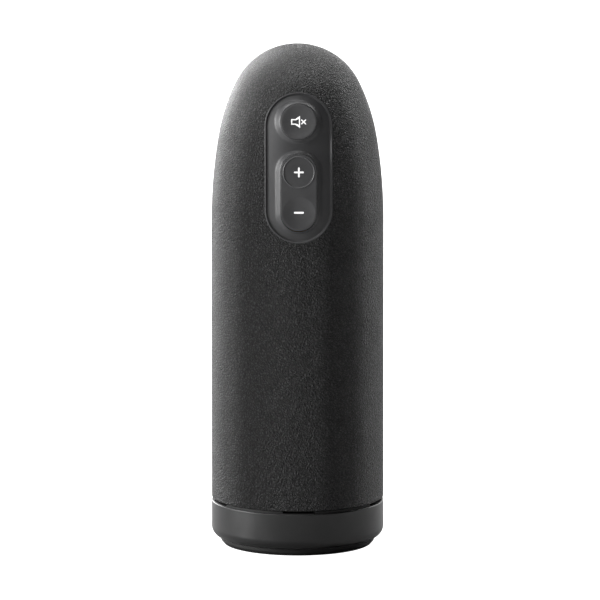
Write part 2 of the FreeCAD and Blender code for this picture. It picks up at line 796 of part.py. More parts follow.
def speaker_yoke():
    z = DRIVER_FRONT_Z
    pole = tube(COIL_R - 0.6, 0, z + 18.0, z + 29.0)
    return tube(19.5, 0, z + 29.0, z + 32.0).fuse(pole).removeSplitter()


def voice_coil():
    z = DRIVER_FRONT_Z
    return tube(COIL_R + 0.3, COIL_R - 0.25, z + 8.0, z + 22.0)


def speaker_cone():
    z, inner_r = DRIVER_FRONT_Z, COIL_R + 0.3
    return turned([(inner_r, z + 10.0), (CONE_R, z + 2.4), (CONE_R, z + 3.2), (inner_r, z + 10.9)])


def speaker_surround():
    """A half-roll of rubber between the cone's edge and the basket."""
    z = DRIVER_FRONT_Z + 2.4
    middle, roll, wall = (CONE_R + ROLL_OUTER_R) / 2, (ROLL_OUTER_R - CONE_R) / 2, 0.5
    outer = [V(middle - roll, 0, z), V(middle, 0, z - roll), V(middle + roll, 0, z)]
    inner = [V(middle + roll - wall, 0, z), V(middle, 0, z - roll + wall), V(middle - roll + wall, 0, z)]
    edges = [
        Part.Arc(*outer).toShape(), line(outer[2], inner[0]),
        Part.Arc(*inner).toShape(), line(inner[2], outer[0]),
    ]
    return spin(Part.Wire(edges))


def speaker_spider():
    z = DRIVER_FRONT_Z + 15.0
    return tube(18.2, COIL_R + 0.3, z, z + 0.6)


def dust_cap():
    z = DRIVER_FRONT_Z + 8.0
    radius = 16.0
    ball = Part.makeSphere(radius, V(0, 0, z + math.sqrt(radius ** 2 - COIL_R ** 2)))
    hollow = Part.makeSphere(radius - 0.5, V(0, 0, z + math.sqrt(radius ** 2 - COIL_R ** 2)))
    slab = tube(COIL_R + 0.2, 0, z - 8.0, z)
    return ball.cut(hollow).common(slab)


def speaker_gasket():
    ring = tube(DRIVER_FLANGE_R, 27.4, DRIVER_FRONT_Z + 2.0, BAFFLE_Z)
    for hole in driver_screw_copies(driver_screw_hole(0.05)):
        ring = ring.cut(hole)
    return ring


def speaker_screws():
    one = screw(DRIVER_SCREW_RING, 0, DRIVER_FRONT_Z - 1.2, 5.2, DRIVER_SCREW_R, 1.25, 1.2)
    return Part.makeCompound(driver_screw_copies(one))


def speaker_chamber():
    """The closed cup behind the driver, standing on the baffle."""
    low_z = BAFFLE_Z + BAFFLE_T
    cup = tube(CHAMBER_R, 0, low_z, CHAMBER_TOP_Z)
    cup = cup.cut(tube(CHAMBER_R - 2.2, 0, low_z - 1, CHAMBER_TOP_Z - 2.4))
    for boss in frame_screw_copies(CHAMBER_TOP_Z - 9.0, CHAMBER_TOP_Z - 1.0, 3.0):
        cup = cup.fuse(boss)
    for hole in frame_screw_copies(CHAMBER_TOP_Z - 7.0, CHAMBER_TOP_Z + 1, FRAME_SCREW_R):
        cup = cup.cut(hole)
    lead_hole = post(0, SPEAKER_LEAD_Y, CHAMBER_TOP_Z - 5, CHAMBER_TOP_Z + 1, 1.5)
    return cup.cut(lead_hole).removeSplitter()


def frame_screw_copies(low_z, high_z, radius):
    """Three posts where the frame's screws stand."""
    return around(post(FRAME_SCREW_RING, 0, low_z, high_z, radius), 3)


def sound_diffuser():
    """A cone that turns the driver's sound outwards through the shell windows."""
    low_z, disc_r = SPIGOT_TOP_Z, BODY_R - SHELL_INNER - 0.3
    cone = turned([
        (0, low_z), (disc_r, low_z), (disc_r, low_z + 1.8), (27.0, low_z + 1.8),
        (14.0, low_z + 6.5), (5.0, low_z + 14.0), (1.5, low_z + 17.0), (0, low_z + 17.4),
    ])
    return cone.cut(cable_duct())


# ---------------------------------------------------------------- boards and leads

def mic_board():
    z = MIC_BOARD_Z
    board = tube(39.3, 26.0, z, z + MIC_BOARD_T)
    for notch in base_screw_copies(post_notch()):
        board = board.cut(notch)
    return board.cut(box(-CABLE_R - 0.5, CABLE_R + 0.5, CABLE_Y - CABLE_R - 0.5, FAR, 0, FAR))


def post_notch():
    """Room for one of the slotted ring's screw posts."""
    return box(BASE_SCREW_R - POST_NOTCH, FAR, -POST_NOTCH, POST_NOTCH, 0, FAR)


def microphones():
    z = MIC_BOARD_Z + MIC_BOARD_T
    can = box(MIC_R - 1.7, MIC_R + 1.7, -1.5, 1.5, z, z + MIC_H)
    can = can.cut(post(MIC_R, 0, z + 0.6, z + 2, 0.5))
    return Part.makeCompound(around(can, MIC_COUNT, MIC_TURN))


def mic_gasket():
    z = MIC_BOARD_Z + MIC_BOARD_T + MIC_H + 0.05
    ring = tube(35.0, 30.6, z, z + 1.4)
    for hole in around(post(MIC_R, 0, z - 1, z + 3, 0.9), MIC_COUNT, MIC_TURN):
        ring = ring.cut(hole)
    for notch in base_screw_copies(post_notch()):
        ring = ring.cut(notch)
    return ring


def speaker_lead():
    return lead(SPEAKER_LEAD_Y, TERMINAL_Z, FRAME_Z + 14.0, 1.0)


def lead(y, low_z, high_z, radius):
    """A lead that rises at y and turns in to a connector on the main board's back face."""
    lean = LEAD_BEND * (1 - math.sqrt(0.5))
    low, knee = V(0, y, low_z), V(0, y, high_z - LEAD_BEND)
    middle = V(0, y - lean, high_z - lean)
    turned_in, end = V(0, y - LEAD_BEND, high_z), V(0, MAIN_BOARD_Y + MAIN_BOARD_T + CONNECTOR_T, high_z)
    edges = [line(low, knee), Part.Arc(knee, middle, turned_in).toShape(), line(turned_in, end)]
    circle = Part.Wire(Part.makeCircle(radius, low, UP))
    return Part.Wire(edges).makePipeShell([circle], True, False)


def power_lead():
    """From the port board up the back to the main board."""
    return lead(CABLE_Y, PORT_Z - USB_H / 2, FRAME_Z + FRAME_T + 22.0, CABLE_R)


def board_frame():
    """The spine: a plate on the chamber's lid with an upright for the main board."""
    z, y = FRAME_Z, MAIN_BOARD_Y
    standoff, wall = 2.5, 2.5
    plate = tube(BODY_R - SHELL_INNER - 0.4, 0, z, z + FRAME_T)
    upright = box(-27, 27, y - standoff - wall, y - standoff, z + FRAME_T, z + 88)
    upright = upright.cut(box(-18, 18, y - 6, y, z + 20, z + 74))
    frame = plate.fuse(upright)
    for x, screw_z in main_screw_places():
        frame = frame.fuse(rod(2.4, standoff, x, y - standoff, screw_z))
    for x, screw_z in main_screw_places():
        frame = frame.cut(rod(1.0, standoff + 2, x, y - standoff - 1.5, screw_z))
    for hole in frame_screw_copies(z - 1, z + 4, 1.3):
        frame = frame.cut(hole)
    frame = frame.cut(post(0, SPEAKER_LEAD_Y, z - 1, z + 6, 1.5))
    return frame.cut(cable_duct()).removeSplitter()


def main_screw_places():
    """Where the main board's four screws stand, as (x, z)."""
    return [(x, FRAME_Z + up) for x in (-MAIN_SCREW_X, MAIN_SCREW_X) for up in MAIN_SCREW_RISE]


def frame_screws():
    head_h = 1.4
    head_z = FRAME_Z + FRAME_T + head_h
    one = screw(FRAME_SCREW_RING, 0, head_z, 7.0, FRAME_SCREW_R, 2.2, head_h, up=False)
    return Part.makeCompound(around(one, 3))


def main_board():
    half_w, back_y = MAIN_BOARD_HALF_W, MAIN_BOARD_Y + MAIN_BOARD_T
    board = box(-half_w, half_w, MAIN_BOARD_Y, back_y, FRAME_Z + 5, FRAME_Z + 87)
    for x, z in main_screw_places():
        board = board.cut(rod(1.1, 6, x, MAIN_BOARD_Y - 2, z))
    return board


def main_board_screws():
    screws = []
    for x, z in main_screw_places():
        head = rod(2.0, 1.2, x, MAIN_BOARD_Y + MAIN_BOARD_T, z)
        shank = rod(0.9, 5.0, x, MAIN_BOARD_Y - 3.4, z)
        screws.append(head.fuse(shank).removeSplitter())
    return Part.makeCompound(screws)


def board_chips():
    """Processor, amplifier, memory and connectors on the main board, as (x, x, height, z, z)."""
    y, z = MAIN_BOARD_Y + MAIN_BOARD_T, FRAME_Z
    places = [
        (-9, 9, 1.6, 46, 62), (-19, -11, 1.2, 50, 60), (11, 19, 1.2, 50, 60),
        (-20, -6, 2.0, 28, 40), (8, 20, 2.4, 28, 40),
        (-3, 3, CONNECTOR_T, 11, 17), (-3, 3, CONNECTOR_T, 21, 27),
    ]
    chips = [box(x0, x1, y, y + t, z + z0, z + z1) for x0, x1, t, z0, z1 in places]
    chips.append(box(-5.5, 5.5, MAIN_BOARD_Y - CHIP_BACK, MAIN_BOARD_Y, z + 40, z + 44))
    return Part.makeCompound(chips)


def heat_spreader():
    """A finned plate on the processor."""
    y, low_z, high_z = MAIN_BOARD_Y + 2 * MAIN_BOARD_T, FRAME_Z + 45, FRAME_Z + 63
    half_w, fins, fin_t = 9.0, 7, 1.0
    pitch = (2 * half_w - fin_t) / (fins - 1) - 0.2
    plate = box(-half_w, half_w, y, y + 1.5, low_z, high_z)
    for i in range(fins):
        x = (i - (fins - 1) / 2) * pitch
        plate = plate.fuse(box(x - fin_t / 2, x + fin_t / 2, y + 1.4, y + 7.0, low_z, high_z))
    return plate.removeSplitter()


def key_ribbon():
    """A flat flexible cable from the key board's lower end back to the main board."""
    start = panel_frame().multVec(V(0, -POST_V, BOARD_TOP_N - BOARD_T - CHIP_BACK))
    thick, width = 0.3, 9.0
    y1, z1 = MAIN_BOARD_Y - CHIP_BACK, FRAME_Z + 42.0
    corners = [
        V(0, start.y + 0.1, start.z),
        V(0, start.y + 7.0, start.z - 1.0),
        V(0, y1 - 9.0, z1),
        V(0, y1, z1),
    ]
    upper = [c + V(0, 0, thick) for c in reversed(corners)]
    face = Part.Face(Part.makePolygon(corners + upper + corners[:1]))
    strip = face.extrude(V(width, 0, 0))
    strip.translate(V(-width / 2, 0, 0))
    return strip


# ---------------------------------------------------------------- rear port plate

def port_plate():
    """A plate let into the base ring, with a rim behind the wall, a socket slot and a key hole."""
    wall_r = BODY_R - BASE_WALL
    face = port_prism(0.1, 38.0, 50.0).common(tube(BODY_R - 0.05, wall_r - 0.4, 0, 40))
    rim_wall = tube(wall_r - 0.1, wall_r - 1.7, PLATE_TOP_Z + 0.2, BASE_TOP_Z - 3.1)
    rim = port_prism(-1.5, 30.0, 50.0).common(rim_wall)
    plate = face.fuse(rim).cut(usb_prism(0.12, 30, 50))
    plate = plate.cut(rod(POWER_R + 0.2, 30, POWER_X, 30, PORT_Z))
    plate = plate.cut(rod(POWER_R + 1.1, POWER_FLANGE_Y + 1.4 - 30, POWER_X, 30, PORT_Z))
    return plate.removeSplitter()


def usb_prism(grow, y0, y1):
    """The rounded slot shape of the socket, run along Y."""
    flat = stadium(USB_H / 2 + grow, USB_W / 2 + grow, 0, y1 - y0)
    flat.rotate(V(0, 0, 0), UP, 90)
    return placed(flat, FreeCAD.Placement(V(USB_X, y1, PORT_Z), FreeCAD.Rotation(ACROSS, 90)))


def usb_shell():
    back = USB_FRONT_Y - USB_DEPTH
    return usb_prism(0, back, USB_FRONT_Y).cut(usb_prism(-0.3, back + 0.8, USB_FRONT_Y + 1))


def usb_tongue():
    back = USB_FRONT_Y - USB_DEPTH + 0.8
    return box(USB_X - 3.3, USB_X + 3.3, back, USB_FRONT_Y - 1.0, PORT_Z - 0.35, PORT_Z + 0.35)


def port_board():
    z = PORT_Z - USB_H / 2
    board = box(-12.5, 12.5, 18.0, 40.4, z - PORT_BOARD_T, z)
    board = board.common(tube(BODY_R - BASE_WALL - 1.9, 0, 0, 40))
    return board.cut(box(-20, -1.6, 36.0, 50, 0, 40))


def power_key():
    back = POWER_FLANGE_Y
    key = rod(POWER_R, 8, POWER_X, back, PORT_Z)
    key = key.common(tube(BODY_R - 0.05, 0, 0, 40))
    flange = rod(POWER_R + 0.7, 1.2, POWER_X, back, PORT_Z)
    return key.fuse(flange).removeSplitter()


def power_switch():
    z = PORT_Z - USB_H / 2
    return box(POWER_X - 3.0, POWER_X + 3.0, SWITCH_Y - 4.0, SWITCH_Y, z, z + 3.4)


def power_dome():
    start = V(POWER_X, SWITCH_Y, PORT_Z)
    return Part.makeCone(1.6, 1.0, POWER_FLANGE_Y - SWITCH_Y, start, BACKWARDS)


NODES = [
    leather_skin, shell_dome, shell_tube, base_ring, base_plate, rubber_foot, ballast_weight,
    base_screws, slot_ring, control_panel, mute_key, mute_icon, volume_rocker, plus_icon,
    minus_icon, rocker_pin, mute_dome, plus_dome, minus_dome, key_board, key_board_screws,
    speaker_baffle, speaker_basket, speaker_top_plate, speaker_magnet, speaker_yoke, voice_coil,
    speaker_cone, speaker_surround, speaker_spider, dust_cap, speaker_gasket, speaker_screws,
    speaker_chamber, sound_diffuser, mic_board, microphones, mic_gasket, speaker_lead, power_lead,
    board_frame, frame_screws, main_board, main_board_screws, board_chips, heat_spreader,
    key_ribbon, port_plate, usb_shell, usb_tongue, port_board, power_key, power_switch, power_dome,
]


def main():
    os.makedirs(OUT, exist_ok=True)
    for node in NODES:
        shape = node()
        for solid in shape.Solids:
            if not solid.isValid() or solid.Volume <= 0:
                print("bad solid in", node.__name__, solid.isValid(), solid.Volume)
        print(f"{node.__name__:20s} solids {len(shape.Solids):2d} volume {shape.Volume / 1000:9.3f} cm3")
        Part.makeCompound(shape.Solids).exportStep(os.path.join(OUT, node.__name__ + ".step"))


main()
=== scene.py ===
import json
import math
import bpy
import numpy as np
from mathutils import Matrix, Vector
from mathutils.geometry import delaunay_2d_cdt

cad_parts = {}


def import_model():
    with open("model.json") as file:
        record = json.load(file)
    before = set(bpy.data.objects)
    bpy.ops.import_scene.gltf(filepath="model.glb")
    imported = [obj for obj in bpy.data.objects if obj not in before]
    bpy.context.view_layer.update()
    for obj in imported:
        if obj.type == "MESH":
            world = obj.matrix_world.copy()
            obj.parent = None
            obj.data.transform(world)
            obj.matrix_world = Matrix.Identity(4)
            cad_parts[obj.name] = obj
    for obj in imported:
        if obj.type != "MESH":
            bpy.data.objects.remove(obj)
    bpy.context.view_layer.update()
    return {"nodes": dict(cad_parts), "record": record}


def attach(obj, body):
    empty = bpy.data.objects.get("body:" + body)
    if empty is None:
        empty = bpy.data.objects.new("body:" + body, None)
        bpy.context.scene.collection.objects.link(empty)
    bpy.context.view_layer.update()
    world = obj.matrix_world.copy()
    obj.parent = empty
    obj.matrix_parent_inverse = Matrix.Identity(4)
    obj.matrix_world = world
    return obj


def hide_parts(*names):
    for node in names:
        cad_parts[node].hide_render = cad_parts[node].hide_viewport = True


# Looks for the conference speakerphone: its visible pieces, materials, light and camera.
# Shapes are worked out in millimetres in the CAD frame and turned into metres when a mesh is made.

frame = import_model()

MM = 0.001

# The capsule's outline, as the CAD has it
BODY_R = 45.0
DOME_START_Z = 171.6
FLANK_RADIUS, FLANK_ANGLE = 270.0, math.radians(9.5)
SHOULDER_RADIUS, SHOULDER_ANGLE = 102.0, math.radians(26.5)
BODY_BOTTOM_Z, BASE_TOP_Z, FOOT_TOP_Z = 24.7, 23.1, 4.0
SKIN, SHELL_INNER = 1.0, 3.4

# The key panel
PANEL_Z, PANEL_TILT = 206.5, math.radians(10.0)
PANEL_HALF = (17.85, 39.5)
PANEL_GAP = 0.06
FLOOR_DEPTH = 1.4
KEY_R, KEY_GAP, ROCK_GAP = 9.3, 0.12, 0.25
MUTE_V, MUTE_TILT = 24.0, math.radians(17.5)
ROCKER_V, ROCKER_TILT, ROCKER_HALF_L = -12.9, math.radians(4.5), 20.25
ROCKER_CROWN, ROCKER_KEY_V = 260.0, 10.6
DISH_R = 8.4

# The rear port plate
PORT_Z, PORT_HALF = 14.6, (13.0, 4.6)

# Directions round Z
FRONT, BACK = -math.pi / 2, math.pi / 2

# Points that fall in one cell of this size are welded
WELD = 2e-4
# Slopes are taken over this distance to each side
SLOPE_STEP = 0.01
# The capsule's outside is searched for between these heights over a plane, by halving the range
SEARCH_LIMITS, SEARCH_HALVINGS = (-20.0, 8.0), 34
# How far a plain grid of points stays from the loops along an edge, as a share of its pitch: in a
# plate, at a ring on a plate, and in a turned sheet
PLATE_CLEARANCE, RING_CLEARANCE, SHEET_CLEARANCE = 0.6, 0.5, 0.75


# ---------------------------------------------------------------- the capsule's outside

def dome_arcs():
    """The dome from its foot up, as arcs (centre r, centre z, radius, start angle, end angle)."""
    flank = (BODY_R - FLANK_RADIUS, DOME_START_Z)
    step = FLANK_RADIUS - SHOULDER_RADIUS
    shoulder = (flank[0] + step * math.cos(FLANK_ANGLE), flank[1] + step * math.sin(FLANK_ANGLE))
    crown_radius = SHOULDER_RADIUS + shoulder[0] / math.cos(SHOULDER_ANGLE)
    crown_z = shoulder[1] + (SHOULDER_RADIUS - crown_radius) * math.sin(SHOULDER_ANGLE)
    return [
        (*flank, FLANK_RADIUS, 0.0, FLANK_ANGLE),
        (*shoulder, SHOULDER_RADIUS, FLANK_ANGLE, SHOULDER_ANGLE),
        (0.0, crown_z, crown_radius, SHOULDER_ANGLE, math.pi / 2),
    ]


ARCS = dome_arcs()


def outside_radius(z, offset=0.0):
    """Radius of the capsule's outside at heights z, offset inwards."""
    z = np.asarray(z, float)
    out = np.full(z.shape, BODY_R - offset)
    for r, centre, full, start, _ in ARCS:
        radius = full - offset
        here = z > centre + radius * math.sin(start)
        rise = np.clip(z - centre, 0, radius)
        out = np.where(here, r + np.sqrt(radius ** 2 - rise ** 2), out)
    return out


class Plane:
    """A flat frame in space: a point is origin + u * across + v * up + n * out."""

    def __init__(self, origin, across, up, out):
        self.origin, self.across = np.array(origin, float), np.array(across, float)
        self.up, self.out = np.array(up, float), np.array(out, float)

    def point(self, u, v, n):
        u, v, n = (np.asarray(x, float)[..., None] for x in np.broadcast_arrays(u, v, n))
        return self.origin + u * self.across + v * self.up + n * self.out

    def direction(self, u, v, n):
        u, v, n = (np.asarray(x, float)[..., None] for x in np.broadcast_arrays(u, v, n))
        return u * self.across + v * self.up + n * self.out

    def flat(self, points):
        """(u, v) of points in space."""
        away = points - self.origin
        return away @ self.across, away @ self.up


def leaning(y, z, tilt):
    """A plane on the front of the capsule that faces forwards and tilts up."""
    out = (0, -math.cos(tilt), math.sin(tilt))
    return Plane((0, y, z), (1, 0, 0), (0, math.sin(tilt), math.cos(tilt)), out)


PANEL = leaning(-float(outside_radius(PANEL_Z)), PANEL_Z, PANEL_TILT)
REAR = Plane((0, BODY_R, PORT_Z), (-1, 0, 0), (0, 0, 1), (0, 1, 0))


def height_above(plane, u, v, offset=0.0):
    """How far along the plane's outward direction the capsule's outside lies at (u, v)."""
    u, v = np.broadcast_arrays(np.asarray(u, float), np.asarray(v, float))
    low, high = (np.full(u.shape, limit) for limit in SEARCH_LIMITS)
    for _ in range(SEARCH_HALVINGS):
        middle = (low + high) / 2
        p = plane.point(u, v, middle)
        outside = np.hypot(p[..., 0], p[..., 1]) > outside_radius(p[..., 2], offset)
        low, high = np.where(outside, low, middle), np.where(outside, middle, high)
    return (low + high) / 2


def key_plane(v, tilt):
    """The plane of a key whose middle lies at height v on the panel."""
    point = PANEL.point(0.0, v, height_above(PANEL, 0.0, v))
    return leaning(point[1], point[2], tilt)


MUTE = key_plane(MUTE_V, MUTE_TILT)
ROCKER = key_plane(ROCKER_V, ROCKER_TILT)


# ---------------------------------------------------------------- flat outlines

def oblong_distance(u, v, half, centre=(0.0, 0.0)):
    """Signed distance outwards from a round-ended oblong (half width, half height)."""
    radius = min(half)
    du = np.abs(np.asarray(u, float) - centre[0]) - (half[0] - radius)
    dv = np.abs(np.asarray(v, float) - centre[1]) - (half[1] - radius)
    beyond = np.hypot(np.maximum(du, 0), np.maximum(dv, 0))
    return beyond + np.minimum(np.maximum(du, dv), 0) - radius


def oblong(half, centre, grow, step):
    """Points round a round-ended oblong, anticlockwise. Their count is the same for any grow."""
    radius = min(half)
    r = radius + grow
    reach = [length - radius for length in half]
    corner_count = max(6, int(math.ceil(math.pi / 2 * radius / step)))
    side_count = [int(math.ceil(2 * length / step)) if length > 1e-6 else 0 for length in reach]
    points = []
    signs = [(1, 1), (-1, 1), (-1, -1), (1, -1)]
    for k, (sx, sy) in enumerate(signs):
        cx, cy = sx * reach[0], sy * reach[1]
        for i in range(corner_count + 1):
            a = math.pi / 2 * (k + i / corner_count)
            points.append((cx + r * math.cos(a), cy + r * math.sin(a)))
        count = side_count[0] if k % 2 == 0 else side_count[1]
        nx, ny = signs[(k + 1) % 4]
        a = math.pi / 2 * (k + 1)
        start = np.array([cx + r * math.cos(a), cy + r * math.sin(a)])
        end = np.array([nx * reach[0] + r * math.cos(a), ny * reach[1] + r * math.sin(a)])
        if count == 0:
            points.pop()
        for i in range(1, count):
            points.append(tuple(start + (end - start) * i / count))
    return np.array(points) + np.array(centre)


# ---------------------------------------------------------------- mesh gathering

class Skin:
    """Gathers patches of points, normals and faces, and welds them into one mesh."""

    def __init__(self):
        self.points, self.normals, self.faces, self.count = [], [], [], 0

    def add(self, points, normals, faces):
        points, normals = np.asarray(points, float), np.asarray(normals, float)
        normals = normals / np.maximum(np.linalg.norm(normals, axis=1, keepdims=True), 1e-12)
        self.points.append(points)
        self.normals.append(normals)
        self.faces += [tuple(int(i) + self.count for i in f) for f in faces]
        self.count += len(points)

    def strip(self, first, second, normals):
        """Quads between two closed loops of equal count, which share their normals."""
        n = len(first)
        faces = [(i, (i + 1) % n, n + (i + 1) % n, n + i) for i in range(n)]
        self.add(np.vstack([first, second]), np.vstack([normals, normals]), faces)

    def build(self, name, body, finish, nodes):
        """Welds the patches into one object that moves with its body and replaces CAD nodes."""
        points, normals = np.vstack(self.points), np.vstack(self.normals)
        _, first, same = np.unique(np.round(points / WELD).astype(np.int64), axis=0,
                                   return_index=True, return_inverse=True)
        same = same.reshape(-1)
        faces, corner_normals = [], []
        for face in self.faces:
            keep = []
            for i in face:
                if not keep or (same[i] != same[keep[-1]] and same[i] != same[keep[0]]):
                    keep.append(i)
            if len(keep) > 2:
                faces.append([int(same[i]) for i in keep])
                corner_normals += [tuple(normals[i]) for i in keep]
        used = sorted({i for face in faces for i in face})
        place = {old: new for new, old in enumerate(used)}
        faces = [[place[i] for i in face] for face in faces]
        mesh = bpy.data.meshes.new(name)
        mesh.from_pydata((points[first][used] * MM).tolist(), [], faces)
        mesh.polygons.foreach_set("use_smooth", [True] * len(mesh.polygons))
        mesh.normals_split_custom_set(corner_normals)
        obj = bpy.data.objects.new(name, mesh)
        bpy.context.scene.collection.objects.link(obj)
        obj.data.materials.append(finish)
        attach(obj, body)
        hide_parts(*nodes)


def triangles(points, loops, inside):
    """Delaunay triangles over 2D points, with the loops (lists of indices) kept as edges."""
    edges = [(loop[i], loop[(i + 1) % len(loop)]) for loop in loops for i in range(len(loop))]
    coords = [Vector((float(x), float(y))) for x, y in points]
    verts, _, faces, origin, _, _ = delaunay_2d_cdt(coords, edges, [], 0, 1e-7, True)
    source = [o[0] for o in origin]
    out = []
    flat = np.array([(v.x, v.y) for v in verts])
    for face in faces:
        middle = flat[list(face)].mean(axis=0)
        if inside(middle[0], middle[1]):
            out.append(tuple(source[i] for i in face))
    return out


# How far from an edge the loops of points lie that follow it
EDGE_STEPS = (0.0, 0.03, 0.08, 0.16, 0.27, 0.42, 0.62, 0.9, 1.25, 1.7, 2.3)


def round_off(distance, radius):
    """How far a rounded edge has dropped at a distance inside the edge."""
    near = np.clip(radius - np.asarray(distance, float), 0, radius)
    return radius - np.sqrt(np.maximum(radius ** 2 - near ** 2, 0))


def edge_wall(skin, plane, loop, upper, lower, side):
    """The wall under a loop of (u, v) points. side is 1 round an outline and -1 round a hole."""
    along = np.roll(loop, -1, axis=0) - np.roll(loop, 1, axis=0)
    out = plane.direction(side * along[:, 1], -side * along[:, 0], 0 * along[:, 0])
    if side > 0:
        skin.strip(lower, upper, out)
    else:
        skin.strip(upper, lower, out)


def slab(skin, plane, half, top, bottom, step, edge_step, holes=(), steps=EDGE_STEPS, rings=()):
    """A plate with a round-ended outline and holes, its top and bottom given as heights at (u, v).

    step is the pitch of the points inside and edge_step the pitch along edges. steps are the
    distances of the loops that follow each edge. Each ring adds loops at offsets from an oblong.
    """
    loops2d, outlines = [], []
    points = np.zeros((0, 2))

    def put(loop):
        nonlocal points
        start = len(points)
        points = np.vstack([points, loop])
        loops2d.append(list(range(start, start + len(loop))))
        return loops2d[-1]

    for edge_half, centre, side in [(half, (0, 0), 1), *((h, c, -1) for h, c in holes)]:
        for distance in steps:
            loop = put(oblong(edge_half, centre, -side * distance, edge_step))
            if distance == 0.0:
                outlines.append((loop, side))
    for ring_half, ring_centre, offsets in rings:
        for offset in offsets:
            put(oblong(ring_half, ring_centre, offset, edge_step))
    reach = max(steps) + step * PLATE_CLEARANCE
    us = np.arange(-half[0], half[0] + step, step)
    vs = np.arange(-half[1], half[1] + step, step)
    gu, gv = (g.ravel() for g in np.meshgrid(us, vs))
    keep = oblong_distance(gu, gv, half) < -reach
    for hole_half, hole_centre in holes:
        keep &= oblong_distance(gu, gv, hole_half, hole_centre) > reach
    for ring_half, ring_centre, offsets in rings:
        away, clear = oblong_distance(gu, gv, ring_half, ring_centre), step * RING_CLEARANCE
        keep &= (away < min(offsets) - clear) | (away > max(offsets) + clear)
    points = np.vstack([points, np.column_stack([gu[keep], gv[keep]])])

    def inside(x, y):
        if oblong_distance(x, y, half) > 1e-4:
            return False
        return all(oblong_distance(x, y, h, c) > -1e-4 for h, c in holes)

    faces = triangles(points, loops2d, inside)
    u, v = points[:, 0], points[:, 1]
    slope_u = (top(u + SLOPE_STEP, v) - top(u - SLOPE_STEP, v)) / (2 * SLOPE_STEP)
    slope_v = (top(u, v + SLOPE_STEP) - top(u, v - SLOPE_STEP)) / (2 * SLOPE_STEP)
    normals = plane.direction(-slope_u, -slope_v, np.ones(len(u)))
    skin.add(plane.point(u, v, top(u, v)), normals, faces)
    rim = np.array([i for loop, _ in outlines for i in loop])
    lookup = {int(i): k for k, i in enumerate(rim)}
    under = triangles(points[rim], [[lookup[i] for i in loop] for loop, _ in outlines], inside)
    ru, rv = points[rim, 0], points[rim, 1]
    skin.add(plane.point(ru, rv, bottom(ru, rv)), np.tile(-plane.out, (len(rim), 1)),
             [tuple(reversed(f)) for f in under])
    for loop, side in outlines:
        lu, lv = points[loop, 0], points[loop, 1]
        upper, lower = plane.point(lu, lv, top(lu, lv)), plane.point(lu, lv, bottom(lu, lv))
        edge_wall(skin, plane, points[loop], upper, lower, side)


# ---------------------------------------------------------------- turned sheets

class Outline:
    """A turned outline in the (r, z) plane, as runs and arcs. Its right-hand side faces outwards.

    A sample is (r, z, normal r, normal z, whether it lies on the outer side). Each run and arc
    takes the pitch of its samples as step.
    """

    def __init__(self, r, z, outer=True):
        self.at, self.samples, self.outer = (r, z), [], outer

    def push(self, points, normals):
        """Adds samples. A corner has two of them, and a smooth join only one."""
        smooth = bool(self.samples) and np.allclose(self.samples[-1][2:4], normals[0], atol=1e-3)
        for p, n in list(zip(points, normals))[1 if smooth else 0:]:
            self.samples.append((*p, *n, self.outer))
        self.at = points[-1]

    def line(self, r, z, step):
        start, end = np.array(self.at), np.array((r, z), float)
        count = max(1, int(math.ceil(np.linalg.norm(end - start) / step)))
        t = (end - start) / np.linalg.norm(end - start)
        points = [tuple(start + (end - start) * i / count) for i in range(count + 1)]
        self.push(points, [(t[1], -t[0])] * len(points))

    def arc(self, r, z, radius, start, end, step):
        count = max(4, int(math.ceil(abs(end - start) * radius / step)))
        angles = [start + (end - start) * i / count for i in range(count + 1)]
        sign = 1 if end > start else -1
        points = [(r + radius * math.cos(a), z + radius * math.sin(a)) for a in angles]
        self.push(points, [(sign * math.cos(a), sign * math.sin(a)) for a in angles])


def turn(skin, outline, turns, middle=FRONT, windows=()):
    """Turns an outline about Z, leaving out the cells of each window.

    Returns the points and normals of the whole sheet, by row and column.
    """
    rows = outline.samples
    angles = middle - math.pi + np.arange(turns) / turns * 2 * math.pi
    cos, sin = np.cos(angles), np.sin(angles)
    points, normals = [], []
    for r, z, nr, nz, _ in rows:
        points.append(np.column_stack([r * cos, r * sin, np.full(turns, z)]))
        normals.append(np.column_stack([nr * cos, nr * sin, np.full(turns, nz)]))
    points, normals = np.array(points), np.array(normals)
    faces = []
    for i in range(len(rows) - 1):
        if abs(rows[i][0] - rows[i + 1][0]) + abs(rows[i][1] - rows[i + 1][1]) < 1e-9:
            continue
        for j in range(turns):
            if any(r0 <= i < r1 and c0 <= j < c1 for r0, r1, c0, c1 in windows):
                continue
            k = (j + 1) % turns
            faces.append((i * turns + j, i * turns + k, (i + 1) * turns + k, (i + 1) * turns + j))
    skin.add(points.reshape(-1, 3), normals.reshape(-1, 3), faces)
    return points, normals


def window_for(outline, turns, outside, z_low, z_high, half_width):
    """The rows and columns of a turned sheet's outer or inner side that hold an opening."""
    rows = outline.samples
    side = [i for i, row in enumerate(rows) if row[4] == outside]
    below = [i for i in side if rows[i][1] <= z_low]
    above = [i for i in side if rows[i][1] >= z_high]
    first, last = (max(below), min(above)) if outside else (max(above), min(below))
    span = int(math.ceil(half_width / BODY_R / (2 * math.pi) * turns))
    return first, last, turns // 2 - span, turns // 2 + span


